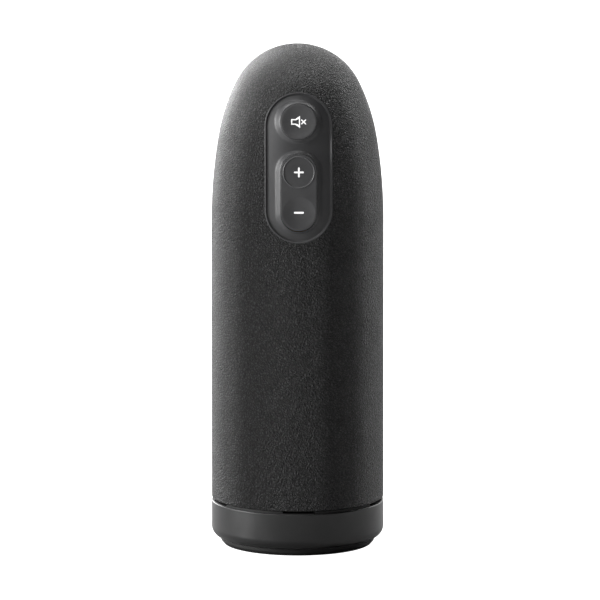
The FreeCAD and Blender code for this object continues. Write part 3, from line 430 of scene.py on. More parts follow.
def fitted_patch(skin, plane, points, normals, window, half, offset, edge, distances, step):
    """Fills a window of a turned sheet round an oblong opening whose edge is rounded by edge.

    offset is the sheet's depth under the outside. Loops of points follow the opening at distances,
    at a pitch of step. Returns the opening's own loop.
    """
    r0, r1, c0, c1 = window
    column = points[r0:r1 + 1, c0]
    lengths = np.zeros(r1 - r0 + 1)
    lengths[1:] = np.cumsum(np.linalg.norm(np.diff(column, axis=0), axis=1))
    turns = points.shape[1]
    pitch = 2 * math.pi / turns * BODY_R
    reach = max(distances) + step * SHEET_CLEARANCE
    flat, grid3, normal3, border = [], [], [], {}
    for i in range(r0, r1 + 1):
        for j in range(c0, c1 + 1):
            if i in (r0, r1) or j in (c0, c1):
                border[(i, j)] = len(flat)
            elif oblong_distance(*plane.flat(points[i, j]), half) < reach:
                continue
            flat.append(((j - c0) * pitch, lengths[i - r0]))
            grid3.append(points[i, j])
            normal3.append(normals[i, j])
    ring = [(r0, j) for j in range(c0, c1)] + [(i, c1) for i in range(r0, r1)]
    ring += [(r1, j) for j in range(c1, c0, -1)] + [(i, c0) for i in range(r1, r0, -1)]
    loops = [[border[cell] for cell in ring]]
    rising = 1 if column[-1, 2] > column[0, 2] else -1
    middle = math.atan2(plane.origin[1], plane.origin[0])
    for distance in distances:
        loop = oblong(half, (0, 0), distance, step)
        p = plane.point(loop[:, 0], loop[:, 1], height_above(plane, loop[:, 0], loop[:, 1], offset))
        angle = (np.arctan2(p[:, 1], p[:, 0]) - middle + math.pi) % (2 * math.pi) - math.pi
        along = angle * BODY_R + (c1 - c0) / 2 * pitch
        up = np.interp(p[:, 2] * rising, column[:, 2] * rising, lengths)
        normal = body_normal(p, offset)
        inwards = np.cross(normal, np.roll(p, -1, axis=0) - np.roll(p, 1, axis=0))
        inwards /= np.linalg.norm(inwards, axis=1, keepdims=True)
        lean = min(1.0, max(0.0, (edge - distance) / edge)) if edge else 0.0
        loops.append(list(range(len(flat), len(flat) + len(p))))
        flat += list(zip(along, up))
        grid3 += list(p - normal * float(round_off(distance, edge)))
        normal3 += list((normal * math.sqrt(1 - lean ** 2) + inwards * lean) * rising)
    flat = np.array(flat)
    hole = flat[loops[1]]
    faces = triangles(flat, loops, lambda x, y: not point_in_polygon(x, y, hole))
    skin.add(np.array(grid3), np.array(normal3), faces)
    return np.array(grid3)[loops[1]]


def opening_wall(skin, plane, outer, inner):
    """The wall of an opening, between its loops on the outer and inner sides."""
    along = np.roll(outer, -1, axis=0) - np.roll(outer, 1, axis=0)
    inwards = np.cross(plane.out, along)
    skin.strip(outer, inner, inwards)


def point_in_polygon(x, y, polygon):
    px, py = polygon[:, 0], polygon[:, 1]
    qx, qy = np.roll(px, -1), np.roll(py, -1)
    cross = (py > y) != (qy > y)
    with np.errstate(divide="ignore", invalid="ignore"):
        at = px + (y - py) / (qy - py) * (qx - px)
    return bool(np.count_nonzero(cross & (x < at)) % 2)


def body_normal(p, offset=0.0):
    """Outward normal of the capsule, offset inwards, at points on it."""
    r = np.hypot(p[:, 0], p[:, 1])
    z = p[:, 2]
    rise = outside_radius(z + SLOPE_STEP, offset) - outside_radius(z - SLOPE_STEP, offset)
    out = np.column_stack([p[:, 0] / r, p[:, 1] / r, -rise / (2 * SLOPE_STEP)])
    return out / np.linalg.norm(out, axis=1, keepdims=True)


# ---------------------------------------------------------------- materials

def material(name, colour, roughness, **inputs):
    """A Principled material and a helper that adds nodes to it."""
    mat = bpy.data.materials.new(name)
    mat.use_nodes = True
    tree = mat.node_tree
    shader = tree.nodes["Principled BSDF"]
    shader.inputs["Base Color"].default_value = (*colour, 1)
    shader.inputs["Roughness"].default_value = roughness
    for key, value in inputs.items():
        shader.inputs[key.replace("_", " ")].default_value = value
    place = tree.nodes.new("ShaderNodeTexCoord")

    def node(kind, links=None, **values):
        made = tree.nodes.new(kind)
        for key, value in values.items():
            if key in made.inputs:
                made.inputs[key].default_value = value
            elif key.replace("_", " ") in made.inputs:
                made.inputs[key.replace("_", " ")].default_value = value
            else:
                setattr(made, key, value)
        for key, source in (links or {}).items():
            tree.links.new(source, made.inputs[key])
        return made

    node.place, node.shader, node.link = place.outputs["Object"], shader, tree.links.new
    return mat, node


def ramp(node, source, stops):
    """A colour ramp with (position, grey or colour) stops."""
    made = node("ShaderNodeValToRGB", {"Fac": source})
    while len(made.color_ramp.elements) < len(stops):
        made.color_ramp.elements.new(0.5)
    for element, (position, value) in zip(made.color_ramp.elements, stops):
        element.position = position
        element.color = (*value, 1) if isinstance(value, tuple) else (value, value, value, 1)
    return made.outputs["Color"]


# The leather's grain is this deep below and above these heights, in metres
GRAIN_FADE_Z, GRAIN_DEPTH = (0.16, 0.235), (0.003, 0.0008)


def leather_material():
    """Charcoal leather with a fine pebbled grain, stretched flatter over the dome, and painted shade
    in the creases between its pebbles.
    """
    mat, node = material("charcoal leather", (0.014, 0.014, 0.0145), 0.5)
    bend = node("ShaderNodeTexNoise", {"Vector": node.place}, Scale=520.0, Detail=3.0)
    shift = node("ShaderNodeVectorMath", {0: bend.outputs["Color"]}, operation="SCALE",
                 Scale=0.0016)
    warped = node("ShaderNodeVectorMath", {0: node.place, 1: shift.outputs[0]}, operation="ADD")
    cells = node("ShaderNodeTexVoronoi", {"Vector": warped.outputs[0]}, Scale=740.0,
                 feature="DISTANCE_TO_EDGE")
    small = node("ShaderNodeTexNoise", {"Vector": warped.outputs[0]}, Scale=1350.0, Detail=2.0)
    pebble = ramp(node, cells.outputs["Distance"], [(0.0, 0.0), (0.22, 0.65), (0.5, 1.0)])
    grain = ramp(node, small.outputs["Fac"], [(0.34, 0.0), (0.66, 1.0)])
    height = node("ShaderNodeMix", {"A": pebble, "B": grain}, data_type="RGBA", Factor=0.35)
    spot = node("ShaderNodeSeparateXYZ", {"Vector": node.place})
    depth = node("ShaderNodeMapRange", {"Value": spot.outputs["Z"]},
                 From_Min=GRAIN_FADE_Z[0], From_Max=GRAIN_FADE_Z[1],
                 To_Min=GRAIN_DEPTH[0], To_Max=GRAIN_DEPTH[1])
    bump = node("ShaderNodeBump", {"Height": height.outputs["Result"],
                                   "Distance": depth.outputs[0]}, Strength=1.0)
    broad = node("ShaderNodeTexNoise", {"Vector": node.place}, Scale=70.0, Detail=5.0)
    rough = ramp(node, broad.outputs["Fac"], [(0.3, 0.47), (0.7, 0.54)])
    # The base colour follows the grain's height: the creases between pebbles are painted almost black
    # and the pebble tops lighter, painted shade in the creases.
    shade = ramp(node, height.outputs["Result"], [(0.3, 0.0006), (0.8, (0.044, 0.044, 0.045))])
    node.link(shade, node.shader.inputs["Base Color"])
    node.link(rough, node.shader.inputs["Roughness"])
    node.link(bump.outputs["Normal"], node.shader.inputs["Normal"])
    return mat


def moulded(name, colour, roughness, grain=5200.0, depth=0.000012, strength=0.25, **inputs):
    """Moulded plastic, rubber or metal: a fine texture, uneven gloss and a slow drift of shade."""
    mat, node = material(name, colour, roughness, **inputs)
    fine = node("ShaderNodeTexNoise", {"Vector": node.place}, Scale=grain, Detail=3.0)
    bump = node("ShaderNodeBump", {"Height": fine.outputs["Fac"]}, Strength=strength, Distance=depth)
    broad = node("ShaderNodeTexNoise", {"Vector": node.place}, Scale=130.0, Detail=4.0)
    rough = ramp(node, broad.outputs["Fac"], [(0.3, roughness - 0.03), (0.7, roughness + 0.04)])
    darker = tuple(c * 0.9 for c in colour)
    lighter = tuple(min(1.0, c * 1.1) for c in colour)
    shade = ramp(node, broad.outputs["Fac"], [(0.25, darker), (0.75, lighter)])
    node.link(shade, node.shader.inputs["Base Color"])
    node.link(rough, node.shader.inputs["Roughness"])
    node.link(bump.outputs["Normal"], node.shader.inputs["Normal"])
    return mat


def board_material():
    """Green solder mask with a faint pattern of buried tracks."""
    mat, node = material("circuit board", (0.01, 0.09, 0.04), 0.4)
    tracks = node("ShaderNodeTexBrick", {"Vector": node.place}, Scale=260.0)
    for name, colour in (("Color1", 0.0), ("Color2", 0.35), ("Mortar", 1.0)):
        tracks.inputs[name].default_value = (colour, colour, colour, 1)
    shade = ramp(node, tracks.outputs["Color"],
                 [(0.0, (0.008, 0.075, 0.032)), (1.0, (0.02, 0.13, 0.06))])
    bump = node("ShaderNodeBump", {"Height": tracks.outputs["Color"]}, Strength=0.3, Distance=0.00003)
    node.link(shade, node.shader.inputs["Base Color"])
    node.link(bump.outputs["Normal"], node.shader.inputs["Normal"])
    return mat


def cloth_material(name, colour, threads):
    """Pressed or woven sheet: crossed threads at a given count per metre."""
    mat, node = material(name, colour, 0.85)
    waves = [node("ShaderNodeTexWave", {"Vector": node.place}, Scale=threads, Distortion=1.5,
                  bands_direction=axis) for axis in ("X", "Y")]
    weave = node("ShaderNodeMix", {"A": waves[0].outputs["Color"], "B": waves[1].outputs["Color"]},
                 data_type="RGBA", Factor=0.5)
    shade = ramp(node, weave.outputs["Result"],
                 [(0.2, tuple(c * 0.7 for c in colour)), (0.8, tuple(c * 1.15 for c in colour))])
    bump = node("ShaderNodeBump", {"Height": weave.outputs["Result"]}, Strength=0.5, Distance=0.00005)
    node.link(shade, node.shader.inputs["Base Color"])
    node.link(bump.outputs["Normal"], node.shader.inputs["Normal"])
    return mat


LEATHER = leather_material()
PANEL_PLASTIC = moulded("panel plastic", (0.068, 0.068, 0.07), 0.36)
KEY_PLASTIC = moulded("key plastic", (0.085, 0.085, 0.087), 0.4)
BASE_PLASTIC = moulded("base plastic", (0.005, 0.005, 0.0052), 0.34, 3600.0, 0.000006,
                        Specular_IOR_Level=0.8)
# The signs' white is given an emission: a painted glow that makes them brighter than the lamps light
# them.
GLOWING_ICON_WHITE = moulded("icon white with painted glow", (0.92, 0.92, 0.92), 0.45,
                     Emission_Color=(1, 1, 1, 1), Emission_Strength=0.55)
FOOT_RUBBER = moulded("foot rubber", (0.012, 0.012, 0.012), 0.7, 2600.0, 0.00003, 0.5)

# The finish of each material slot
FINISHES = {
    "leather": LEATHER,
    "panel_plastic": PANEL_PLASTIC,
    "key_plastic": KEY_PLASTIC,
    "base_plastic": BASE_PLASTIC,
    "icon_white": GLOWING_ICON_WHITE,
    "foot_rubber": FOOT_RUBBER,
    "ring_plastic": moulded("ring plastic", (0.006, 0.006, 0.006), 0.6),
    "shell_plastic": moulded("shell plastic", (0.03, 0.03, 0.032), 0.55, 2400.0, 0.00002, 0.4),
    "screw_steel": moulded("screw steel", (0.09, 0.09, 0.095), 0.4, 3000.0, Metallic=1.0),
    "ballast_steel": moulded("ballast steel", (0.12, 0.12, 0.125), 0.6, 1400.0, 0.00004, 0.5,
                             Metallic=1.0),
    "silicone": moulded("silicone", (0.55, 0.56, 0.56), 0.5, 2600.0),
    "circuit_board": board_material(),
    "chip_black": moulded("chip black", (0.015, 0.015, 0.015), 0.6, 3000.0, 0.00002, 0.4),
    "basket_steel": moulded("basket steel", (0.02, 0.02, 0.02), 0.5, 1800.0, 0.00003, 0.5),
    "pole_steel": moulded("pole steel", (0.4, 0.4, 0.42), 0.35, 2200.0, Metallic=1.0),
    "ferrite": moulded("ferrite", (0.03, 0.03, 0.033), 0.7, 1200.0, 0.00005, 0.6),
    "copper": moulded("copper", (0.62, 0.28, 0.12), 0.35, 3600.0, 0.00003, 0.5, Metallic=1.0),
    "cone_paper": cloth_material("cone paper", (0.035, 0.035, 0.04), 700.0),
    "spider_cloth": cloth_material("spider cloth", (0.4, 0.27, 0.08), 450.0),
    "soft_rubber": moulded("soft rubber", (0.02, 0.02, 0.02), 0.65, 2000.0, 0.00002, 0.4),
    "cable_jacket": moulded("cable jacket", (0.025, 0.025, 0.025), 0.5, 2600.0),
    "ribbon_film": moulded("ribbon film", (0.5, 0.25, 0.05), 0.3, 900.0, 0.00002, 0.3),
    "aluminium": moulded("aluminium", (0.6, 0.61, 0.63), 0.4, 1500.0, 0.00002, 0.4, Metallic=1.0),
    "socket_steel": moulded("socket steel", (0.42, 0.42, 0.43), 0.3, 2600.0, Metallic=1.0),
}


# ---------------------------------------------------------------- leather covering

LEATHER_TURNS, LEATHER_STEP, OPENING_STEP = 240, 1.2, 0.8
LEATHER_EDGE = 0.2
HEM_ROUND, HEM_HEIGHT, HEM_OVERLAP = 0.45, 0.9, 0.2
# The window that is fitted round the panel: lowest and highest z, and half its width
PANEL_REACH = (163.0, 248.0, 25.0)
EDGE_DISTANCES = (0.0, 0.03, 0.08, 0.15, 0.25, 0.4, 0.65, 1.0, 1.5, 2.1)


def covering_outline():
    """From the crown's inside down the inner side, round the hem, and up the outside."""
    hem_r, hem_top = BODY_R - SHELL_INNER + HEM_OVERLAP, BODY_BOTTOM_Z + HEM_HEIGHT
    top = ARCS[-1]
    outline = Outline(0.0, top[1] + top[2] - SKIN, outer=False)
    for r, z, radius, start, end in reversed(ARCS):
        outline.arc(r, z, radius - SKIN, end, start, LEATHER_STEP)
    outline.line(BODY_R - SKIN, hem_top, LEATHER_STEP)
    outline.line(hem_r, hem_top, 1.0)
    outline.line(hem_r, BODY_BOTTOM_Z, 1.0)
    outline.line(BODY_R - HEM_ROUND, BODY_BOTTOM_Z, 1.0)
    outline.outer = True
    outline.arc(BODY_R - HEM_ROUND, BODY_BOTTOM_Z + HEM_ROUND, HEM_ROUND, -math.pi / 2, 0, 0.12)
    outline.line(BODY_R, DOME_START_Z, LEATHER_STEP)
    for r, z, radius, start, end in ARCS:
        outline.arc(r, z, radius, start, end, LEATHER_STEP)
    return outline


def leather():
    """The covering, with the opening that the key panel fills at the front."""
    skin = Skin()
    outline = covering_outline()
    windows = [window_for(outline, LEATHER_TURNS, side, *PANEL_REACH) for side in (True, False)]
    points, normals = turn(skin, outline, LEATHER_TURNS, FRONT, windows)
    outer = fitted_patch(skin, PANEL, points, normals, windows[0], PANEL_HALF, 0.0, LEATHER_EDGE,
                         EDGE_DISTANCES, OPENING_STEP)
    inner = fitted_patch(skin, PANEL, points, normals, windows[1], PANEL_HALF, SKIN, 0.0,
                         (0.0, 1.0), OPENING_STEP)
    opening_wall(skin, PANEL, outer, inner)
    skin.build("leather_covering", "casing", LEATHER, ["leather_skin"])


leather()


# ---------------------------------------------------------------- key panel

def soft_max(a, b, blend):
    """The larger of two heights, with the crease between them rounded."""
    return 0.5 * (a + b + np.sqrt((a - b) ** 2 + blend ** 2))


def soft_step(x):
    """0 to 1 with flat ends."""
    x = np.clip(x, 0, 1)
    return x * x * x * (x * (6 * x - 15) + 10)


PANEL_TOP_HALF = (PANEL_HALF[0] - PANEL_GAP, PANEL_HALF[1] - PANEL_GAP)
MUTE_HALF = (KEY_R, KEY_R)
ROCKER_HALF = (KEY_R, ROCKER_HALF_L)
PANEL_THICKNESS, PANEL_EDGE = 3.3, 0.15
PANEL_STEP, PANEL_EDGE_STEP = 0.55, 0.45

# The recess starts this far inside the panel's edge, and its wall runs this far in
RECESS_START, RECESS_RUN = 0.35, 1.4

# A collar: its drop under the key's edge, its flat width, how steeply it falls, and its roundings
COLLAR_DROP, COLLAR_LAND, COLLAR_FALL = 0.15, 0.4, 0.6
COLLAR_BEND, COLLAR_LIP, COLLAR_BLEND = 0.3, 0.08, 0.35

# The keys
KEY_EDGE, KEY_DEPTH = 0.22, 4.5
KEY_STEP, KEY_EDGE_STEP = 0.6, 0.4
MUTE_DISH, MINUS_DISH = 0.6, 0.95
RING_RISE, RING_INSET, RING_WIDTH = 0.32, 0.3, 0.26
# Where the loops of points lie at the raised ring, at the dish and at the long key's edge
RING_LOOPS = (-0.85, -0.6, -0.45, -0.35, -0.25, -0.15, -0.05, 0.1, 0.3)
DISH_LOOPS = (-0.3, 0.0, 0.2)
ROCKER_EDGE_STEPS = (0.0, 0.03, 0.08, 0.16, 0.27, 0.38)


def on_panel(plane, u, v):
    """Height over the panel's plane of a key's own plane, at panel (u, v)."""
    away = plane.origin - PANEL.point(u, v, 0.0)
    return (away @ plane.out) / float(PANEL.out @ plane.out)


def rocker_crown(v):
    """The long key's face is bowed along its length."""
    return -v ** 2 / (2 * ROCKER_CROWN)


def panel_top(u, v):
    """A recess inside a thin rim, with a collar standing up round each key."""
    inward = -oblong_distance(u, v, PANEL_TOP_HALF)
    surface = height_above(PANEL, u, v)
    wall = soft_step((inward - RECESS_START) / RECESS_RUN)
    rim = surface - round_off(inward, PANEL_EDGE) - FLOOR_DEPTH * wall
    mute_away = oblong_distance(u, v, MUTE_HALF, (0, MUTE_V))
    rocker_away = oblong_distance(u, v, ROCKER_HALF, (0, ROCKER_V))
    mute = on_panel(MUTE, u, v) - COLLAR_DROP - flank(mute_away)
    rocker = on_panel(ROCKER, u, v) - COLLAR_DROP - flank(rocker_away) + rocker_crown(v - ROCKER_V)
    return soft_max(soft_max(rim, mute, COLLAR_BLEND), rocker, COLLAR_BLEND)


def flank(away):
    """How far a collar has fallen at a distance out from its key's edge."""
    past = away - COLLAR_LAND
    slope = COLLAR_FALL * (past + np.sqrt(past ** 2 + COLLAR_BEND ** 2))
    return slope + round_off(away - KEY_GAP, COLLAR_LIP)


def panel_bottom(u, v):
    return height_above(PANEL, u, v) - PANEL_THICKNESS


def key_bottom(u, v):
    """A key's flat back, inside the casing."""
    return np.full(np.broadcast(u, v).shape, -KEY_DEPTH)


def control_panel():
    skin = Skin()
    grown = KEY_R + KEY_GAP
    holes = [((grown, grown), (0, MUTE_V)), ((grown, ROCKER_HALF_L + ROCK_GAP), (0, ROCKER_V))]
    slab(skin, PANEL, PANEL_TOP_HALF, panel_top, panel_bottom, PANEL_STEP, PANEL_EDGE_STEP, holes)
    skin.build("key_panel", "casing", PANEL_PLASTIC, ["control_panel"])


def dish(r, depth):
    """The hollow for a fingertip, at a distance r from its middle."""
    return depth * np.clip(1 - (r / DISH_R) ** 2, 0, 1)


def mute_top(u, v):
    inward = -oblong_distance(u, v, MUTE_HALF)
    return -dish(np.hypot(u, v), MUTE_DISH) - round_off(inward, KEY_EDGE)


def mute_key():
    skin = Skin()
    slab(skin, MUTE, MUTE_HALF, mute_top, key_bottom, KEY_STEP, KEY_EDGE_STEP)
    skin.build("round_key", "mute", KEY_PLASTIC, ["mute_key"])


def rocker_top(u, v):
    """A raised ring round the plus sign and a dish round the minus sign."""
    inward = -oblong_distance(u, v, ROCKER_HALF)
    plus_r = np.hypot(u, v - ROCKER_KEY_V)
    minus_r = np.hypot(u, v + ROCKER_KEY_V)
    ring = RING_RISE * np.exp(-((plus_r - DISH_R + RING_INSET) / RING_WIDTH) ** 2)
    return rocker_crown(v) + ring - dish(minus_r, MINUS_DISH) - round_off(inward, KEY_EDGE)


def volume_rocker():
    skin = Skin()
    rings = [((DISH_R, DISH_R), (0, ROCKER_KEY_V), RING_LOOPS),
             ((DISH_R, DISH_R), (0, -ROCKER_KEY_V), DISH_LOOPS)]
    slab(skin, ROCKER, ROCKER_HALF, rocker_top, key_bottom, KEY_STEP, KEY_EDGE_STEP,
         steps=ROCKER_EDGE_STEPS, rings=rings)
    skin.build("volume_key", "rocker", KEY_PLASTIC, ["volume_rocker"])


control_panel()
mute_key()
volume_rocker()


# ---------------------------------------------------------------- signs on the keys

SIGN_PROUD, SIGN_DEPTH = 0.04, 0.35
PLUS_ARM, PLUS_STROKE = 2.6, 0.92
MINUS_HALF = (2.6, 0.5)

# The mute sign, along and across from the key's middle: a loudspeaker drawn in outline
BOX_X, HORN_X, MOUTH_X = -3.95, -1.85, 0.7
BOX_HALF, MOUTH_HALF, HORN_STROKE = 1.45, 3.2, 0.58
# How far the outline's inner corners lie from its outer ones, where the horn slants
NECK_SHIFT, MOUTH_SHIFT = 0.3, 1.65
# The cross beside it
CROSS_X, CROSS_ARM, CROSS_STROKE = 2.55, 1.75, 0.6
CAP_STEPS = 6


def polygon_plate(skin, plane, outline, top, holes=()):
    """A thin inlay whose outline is a list of corners, standing a hair proud of a key's face."""
    loops, points = [], []
    for loop in (outline, *holes):
        loops.append(list(range(len(points), len(points) + len(loop))))
        points += list(loop)
    points = np.array(points, float)

    def inside(x, y):
        if not point_in_polygon(x, y, np.array(outline, float)):
            return False
        return not any(point_in_polygon(x, y, np.array(h, float)) for h in holes)

    faces = triangles(points, loops, inside)
    u, v = points[:, 0], points[:, 1]
    upper = plane.point(u, v, top(u, v) + SIGN_PROUD)
    lower = plane.point(u, v, top(u, v) - SIGN_DEPTH)
    out = np.tile(plane.out, (len(points), 1))
    skin.add(upper, out, faces)
    skin.add(lower, -out, [tuple(reversed(f)) for f in faces])
    for k, loop in enumerate(loops):
        edge_wall(skin, plane, points[loop], upper[loop], lower[loop], 1 if k == 0 else -1)


def cross_outline(centre, arm, stroke, turn_by=0.0):
    """Corners of a plus with round ends."""
    half = stroke / 2
    points = []
    for k in range(4):
        a = k * math.pi / 2
        for i in range(CAP_STEPS + 1):
            b = -math.pi / 2 + math.pi * i / CAP_STEPS
            x, y = arm - half + half * math.cos(b), half * math.sin(b)
            points.append((x * math.cos(a) - y * math.sin(a), x * math.sin(a) + y * math.cos(a)))
        notch = (half * math.cos(a) - half * math.sin(a), half * math.sin(a) + half * math.cos(a))
        points.append(notch)
    c, s = math.cos(turn_by), math.sin(turn_by)
    return [(centre[0] + x * c - y * s, centre[1] + x * s + y * c) for x, y in points]


def plus_sign():
    skin = Skin()
    plus = cross_outline((0, ROCKER_KEY_V), PLUS_ARM, PLUS_STROKE)
    polygon_plate(skin, ROCKER, plus, rocker_top)
    skin.build("plus_sign", "rocker", GLOWING_ICON_WHITE, ["plus_icon"])


def minus_sign():
    skin = Skin()
    minus = oblong(MINUS_HALF, (0, -ROCKER_KEY_V), 0, 0.12)
    polygon_plate(skin, ROCKER, [tuple(p) for p in minus], rocker_top)
    skin.build("minus_sign", "rocker", GLOWING_ICON_WHITE, ["minus_icon"])


def mute_sign():
    """A loudspeaker in outline, and a cross."""
    skin = Skin()
    upper = [(BOX_X, BOX_HALF), (HORN_X, BOX_HALF), (MOUTH_X, MOUTH_HALF)]
    horn = [(x, -y) for x, y in upper] + upper[::-1]
    inner_box, inner_mouth = BOX_HALF - HORN_STROKE, MOUTH_HALF - MOUTH_SHIFT
    upper = [(BOX_X + HORN_STROKE, inner_box), (HORN_X + NECK_SHIFT, inner_box),
             (MOUTH_X - HORN_STROKE, inner_mouth)]
    hollow = [(x, -y) for x, y in upper] + upper[::-1]
    polygon_plate(skin, MUTE, horn, mute_top, [hollow])
    cross = cross_outline((CROSS_X, 0.0), CROSS_ARM, CROSS_STROKE, math.pi / 4)
    polygon_plate(skin, MUTE, cross, mute_top)
    skin.build("mute_sign", "mute", GLOWING_ICON_WHITE, ["mute_icon"])


plus_sign()
minus_sign()
mute_sign()


# ---------------------------------------------------------------- foot and base

FOOT_R, FOOT_FLOOR_R, FOOT_INNER_R = 40.2, 38.6, 30.5
FOOT_FLARE_H, FOOT_BEND = 1.8, 1.2
FOOT_EDGE, FOOT_SHOULDER = 0.4, 0.5
FOOT_TURNS = 240


def rubber_foot():
    """A ring that flares from the table up to a rounded shoulder under the base."""
    edge, bend, shoulder = FOOT_EDGE, FOOT_BEND, FOOT_SHOULDER
    flare = math.atan2(FOOT_FLARE_H, FOOT_R - FOOT_FLOOR_R)
    outline = Outline(FOOT_INNER_R, FOOT_TOP_Z)
    outline.line(FOOT_INNER_R, edge, 1.0)
    outline.arc(FOOT_INNER_R + edge, edge, edge, math.pi, 1.5 * math.pi, 0.15)
    floor_r = FOOT_FLOOR_R - edge * math.tan(flare / 2)
    outline.line(floor_r, 0.0, 2.0)
    outline.arc(floor_r, edge, edge, -math.pi / 2, flare - math.pi / 2, 0.1)
    bend_r, bend_z = FOOT_R - bend, FOOT_FLARE_H + bend * math.tan((math.pi / 2 - flare) / 2)
    outline.line(bend_r + bend * math.sin(flare), bend_z - bend * math.cos(flare), 0.5)
    outline.arc(bend_r, bend_z, bend, flare - math.pi / 2, 0, 0.15)
    outline.line(FOOT_R, FOOT_TOP_Z - shoulder, 0.5)
    outline.arc(FOOT_R - shoulder, FOOT_TOP_Z - shoulder, shoulder, 0, math.pi / 2, 0.1)
    outline.line(FOOT_INNER_R, FOOT_TOP_Z, 2.0)
    skin = Skin()
    turn(skin, outline, FOOT_TURNS)
    skin.build("foot_ring", "casing", FOOT_RUBBER, ["rubber_foot"])


# The base: its wall, the lip inside it, and its lower and upper roundings
BASE_WALL = 2.5
BASE_LIP_R, BASE_LIP_H = 39.5, 2.5
BASE_ROUND, BASE_TURN, BASE_EDGE = 5.5, math.radians(69.0), 0.5
BASE_TURNS, PORT_STEP = 288, 0.5
# The window that is fitted round the port plate: lowest and highest z, and half its width
PORT_REACH = (9.3, 20.2, 16.0)
PORT_EDGE = 0.2
PORT_DISTANCES = (0.0, 0.04, 0.1, 0.18, 0.28, 0.45)


def base_outline():
    """From the lip's lower edge round the outside, over the top and down the inside."""
    inner_r, lip_top = BODY_R - BASE_WALL, FOOT_TOP_Z + BASE_LIP_H
    round_z = FOOT_TOP_Z + BASE_ROUND * math.sin(BASE_TURN)
    outline = Outline(BASE_LIP_R, FOOT_TOP_Z)
    outline.line(BODY_R - BASE_ROUND * (1 - math.cos(BASE_TURN)), FOOT_TOP_Z, 1.0)
    outline.arc(BODY_R - BASE_ROUND, round_z, BASE_ROUND, -BASE_TURN, 0, 0.35)
    outline.line(BODY_R, BASE_TOP_Z - BASE_EDGE, 1.0)
    outline.arc(BODY_R - BASE_EDGE, BASE_TOP_Z - BASE_EDGE, BASE_EDGE, 0, math.pi / 2, 0.08)
    outline.line(inner_r, BASE_TOP_Z, 1.0)
    outline.outer = False
    outline.line(inner_r, lip_top, 1.0)
    outline.line(BASE_LIP_R, lip_top, 1.0)
    outline.line(BASE_LIP_R, FOOT_TOP_Z, 1.0)
    return outline


def base_band():
    """The smooth base, with the opening that the port plate fills at the back."""
    skin = Skin()
    outline = base_outline()
    windows = [window_for(outline, BASE_TURNS, side, *PORT_REACH) for side in (True, False)]
    points, normals = turn(skin, outline, BASE_TURNS, BACK, windows)
    outer = fitted_patch(skin, REAR, points, normals, windows[0], PORT_HALF, 0.0, PORT_EDGE,
                         PORT_DISTANCES, PORT_STEP)
    inner = fitted_patch(skin, REAR, points, normals, windows[1], PORT_HALF, BASE_WALL, 0.0,
                         (0.0, 0.5), PORT_STEP)
    opening_wall(skin, REAR, outer, inner)
    skin.build("base_band", "casing", BASE_PLASTIC, ["base_ring"])


base_band()
rubber_foot()

# Every CAD piece gets the finish of its slot, also where a visual piece takes its place
for subpart in frame["record"]["subparts"]:
    cad_piece = frame["nodes"][subpart["node"]]
    cad_piece.data.materials.clear()
    cad_piece.data.materials.append(FINISHES[subpart["material_slot"]])


# ---------------------------------------------------------------- stage, light and camera

FLOOR_HALF, FLOOR_GREY, FLOOR_GLOW, WORLD_LIGHT = 3.0, 0.3, 1.2, 0.01
LAMP_DISTANCE, LAMP_AIM_Z = 1.6, 0.14

# Name, azimuth and elevation in degrees, width and height in metres, watts
SOFTBOXES = [
    ("left rim", -156, 12, 0.6, 1.1, 20.0),
    ("left back", -135, 12, 0.42, 1.1, 12.0),
    ("left side", -92, 12, 0.36, 1.1, 10.0),
    ("left strip", -72, 12, 0.3, 1.1, 19.0),
    ("front left", -42, 16, 0.42, 1.1, 4.0),
    ("right rim", 135, 12, 0.42, 1.1, 8.0),
    ("right back", 165, 12, 0.42, 1.1, 4.5),
    ("high left", -135, 52, 0.7, 0.7, 11.5),
    ("high right", 135, 52, 0.7, 0.7, 13.0),
    ("high back", 180, 52, 0.7, 0.7, 5.5),
    ("high front", -20, 52, 0.7, 0.7, 3.0),
    ("top", 0, 89, 0.9, 0.9, 8.5),
]


def seen_directly(tree):
    """1 where the camera's own ray meets the surface, 0 in light and reflections."""
    return tree.nodes.new("ShaderNodeLightPath").outputs["Is Camera Ray"]


def stage():
    """A pale floor that looks white and throws little light back at the device."""
    mesh = bpy.data.meshes.new("floor")
    sides = ((-1, -1), (1, -1), (1, 1), (-1, 1))
    mesh.from_pydata([(x * FLOOR_HALF, y * FLOOR_HALF, 0) for x, y in sides], [], [(0, 1, 2, 3)])
    floor = bpy.data.objects.new("floor", mesh)
    bpy.context.scene.collection.objects.link(floor)
    mat, _ = material("floor", (FLOOR_GREY, FLOOR_GREY, FLOOR_GREY), 0.9)
    tree = mat.node_tree
    shader = tree.nodes["Principled BSDF"]
    shader.inputs["Emission Color"].default_value = (1, 1, 1, 1)
    glow = tree.nodes.new("ShaderNodeMath")
    glow.operation = "MULTIPLY"
    glow.inputs[1].default_value = FLOOR_GLOW
    tree.links.new(seen_directly(tree), glow.inputs[0])
    tree.links.new(glow.outputs[0], shader.inputs["Emission Strength"])
    mesh.materials.append(mat)


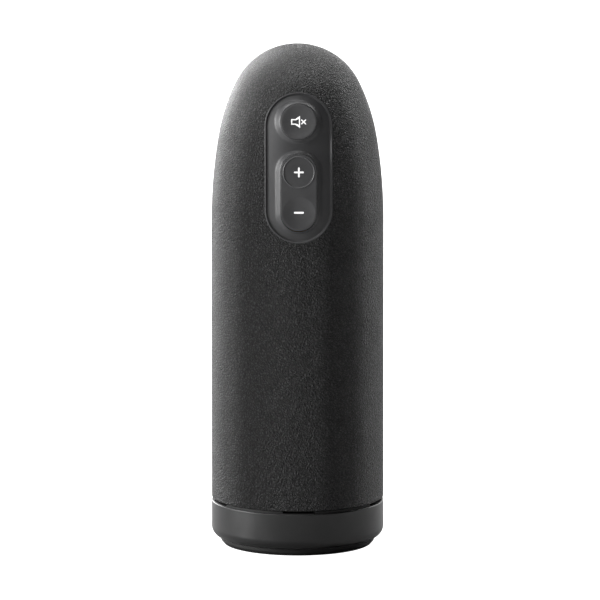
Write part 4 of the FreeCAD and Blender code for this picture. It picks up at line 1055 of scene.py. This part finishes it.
def softbox(name, azimuth, elevation, width, height, power):
    """A rectangular lamp aimed at the device. Azimuth 0 is in front and 90 to the right."""
    data = bpy.data.lights.new(name, "AREA")
    data.shape = "RECTANGLE"
    data.size, data.size_y, data.energy = width, height, power
    lamp = bpy.data.objects.new(name, data)
    a, e = math.radians(azimuth), math.radians(elevation)
    away = Vector((math.sin(a) * math.cos(e), -math.cos(a) * math.cos(e), math.sin(e)))
    lamp.location = Vector((0, 0, LAMP_AIM_Z)) + away * LAMP_DISTANCE
    lamp.rotation_euler = (-away).to_track_quat("-Z", "Y").to_euler()
    bpy.context.scene.collection.objects.link(lamp)


def world():
    """White where it is seen, dim as a light."""
    studio = bpy.data.worlds.new("studio")
    bpy.context.scene.world = studio
    studio.use_nodes = True
    tree = studio.node_tree
    shader = tree.nodes["Background"]
    shader.inputs["Color"].default_value = (1, 1, 1, 1)
    strength = tree.nodes.new("ShaderNodeMapRange")
    strength.inputs["To Min"].default_value = WORLD_LIGHT
    strength.inputs["To Max"].default_value = 1.0
    tree.links.new(seen_directly(tree), strength.inputs["Value"])
    tree.links.new(strength.outputs[0], shader.inputs["Strength"])


# What the picture spans at the device's axis, and where that axis lies beside its middle
MM_ACROSS, AXIS_OFFSET_MM = 314.14, 1.26
CAMERA_AIM_Z = 128.8
CAMERA_LENS, SENSOR_WIDTH = 1000.0, 36.0
CAMERA_ELEVATION, CAMERA_AZIMUTH = math.radians(10.4), math.radians(-0.9)


def camera():
    """A long lens, ten degrees above the horizon, almost straight at the key panel."""
    data = bpy.data.cameras.new("camera")
    data.lens, data.sensor_width = CAMERA_LENS, SENSOR_WIDTH
    cam = bpy.data.objects.new("camera", data)
    distance = MM_ACROSS * MM / (SENSOR_WIDTH / CAMERA_LENS)
    flat = math.cos(CAMERA_ELEVATION)
    across = Vector((math.cos(CAMERA_AZIMUTH), math.sin(CAMERA_AZIMUTH), 0))
    back = Vector((math.sin(CAMERA_AZIMUTH) * flat, -math.cos(CAMERA_AZIMUTH) * flat,
                   math.sin(CAMERA_ELEVATION)))
    target = across * AXIS_OFFSET_MM * MM + Vector((0, 0, CAMERA_AIM_Z * MM))
    cam.location = target + back * distance
    cam.rotation_mode = "QUATERNION"
    cam.rotation_quaternion = (-back).to_track_quat("-Z", "Y")
    data.clip_start, data.clip_end = 0.05, 50.0
    bpy.context.scene.collection.objects.link(cam)
    bpy.context.scene.camera = cam


stage()
world()
for lamp_values in SOFTBOXES:
    softbox(*lamp_values)
camera()
bpy.context.scene.view_settings.view_transform = "Standard"
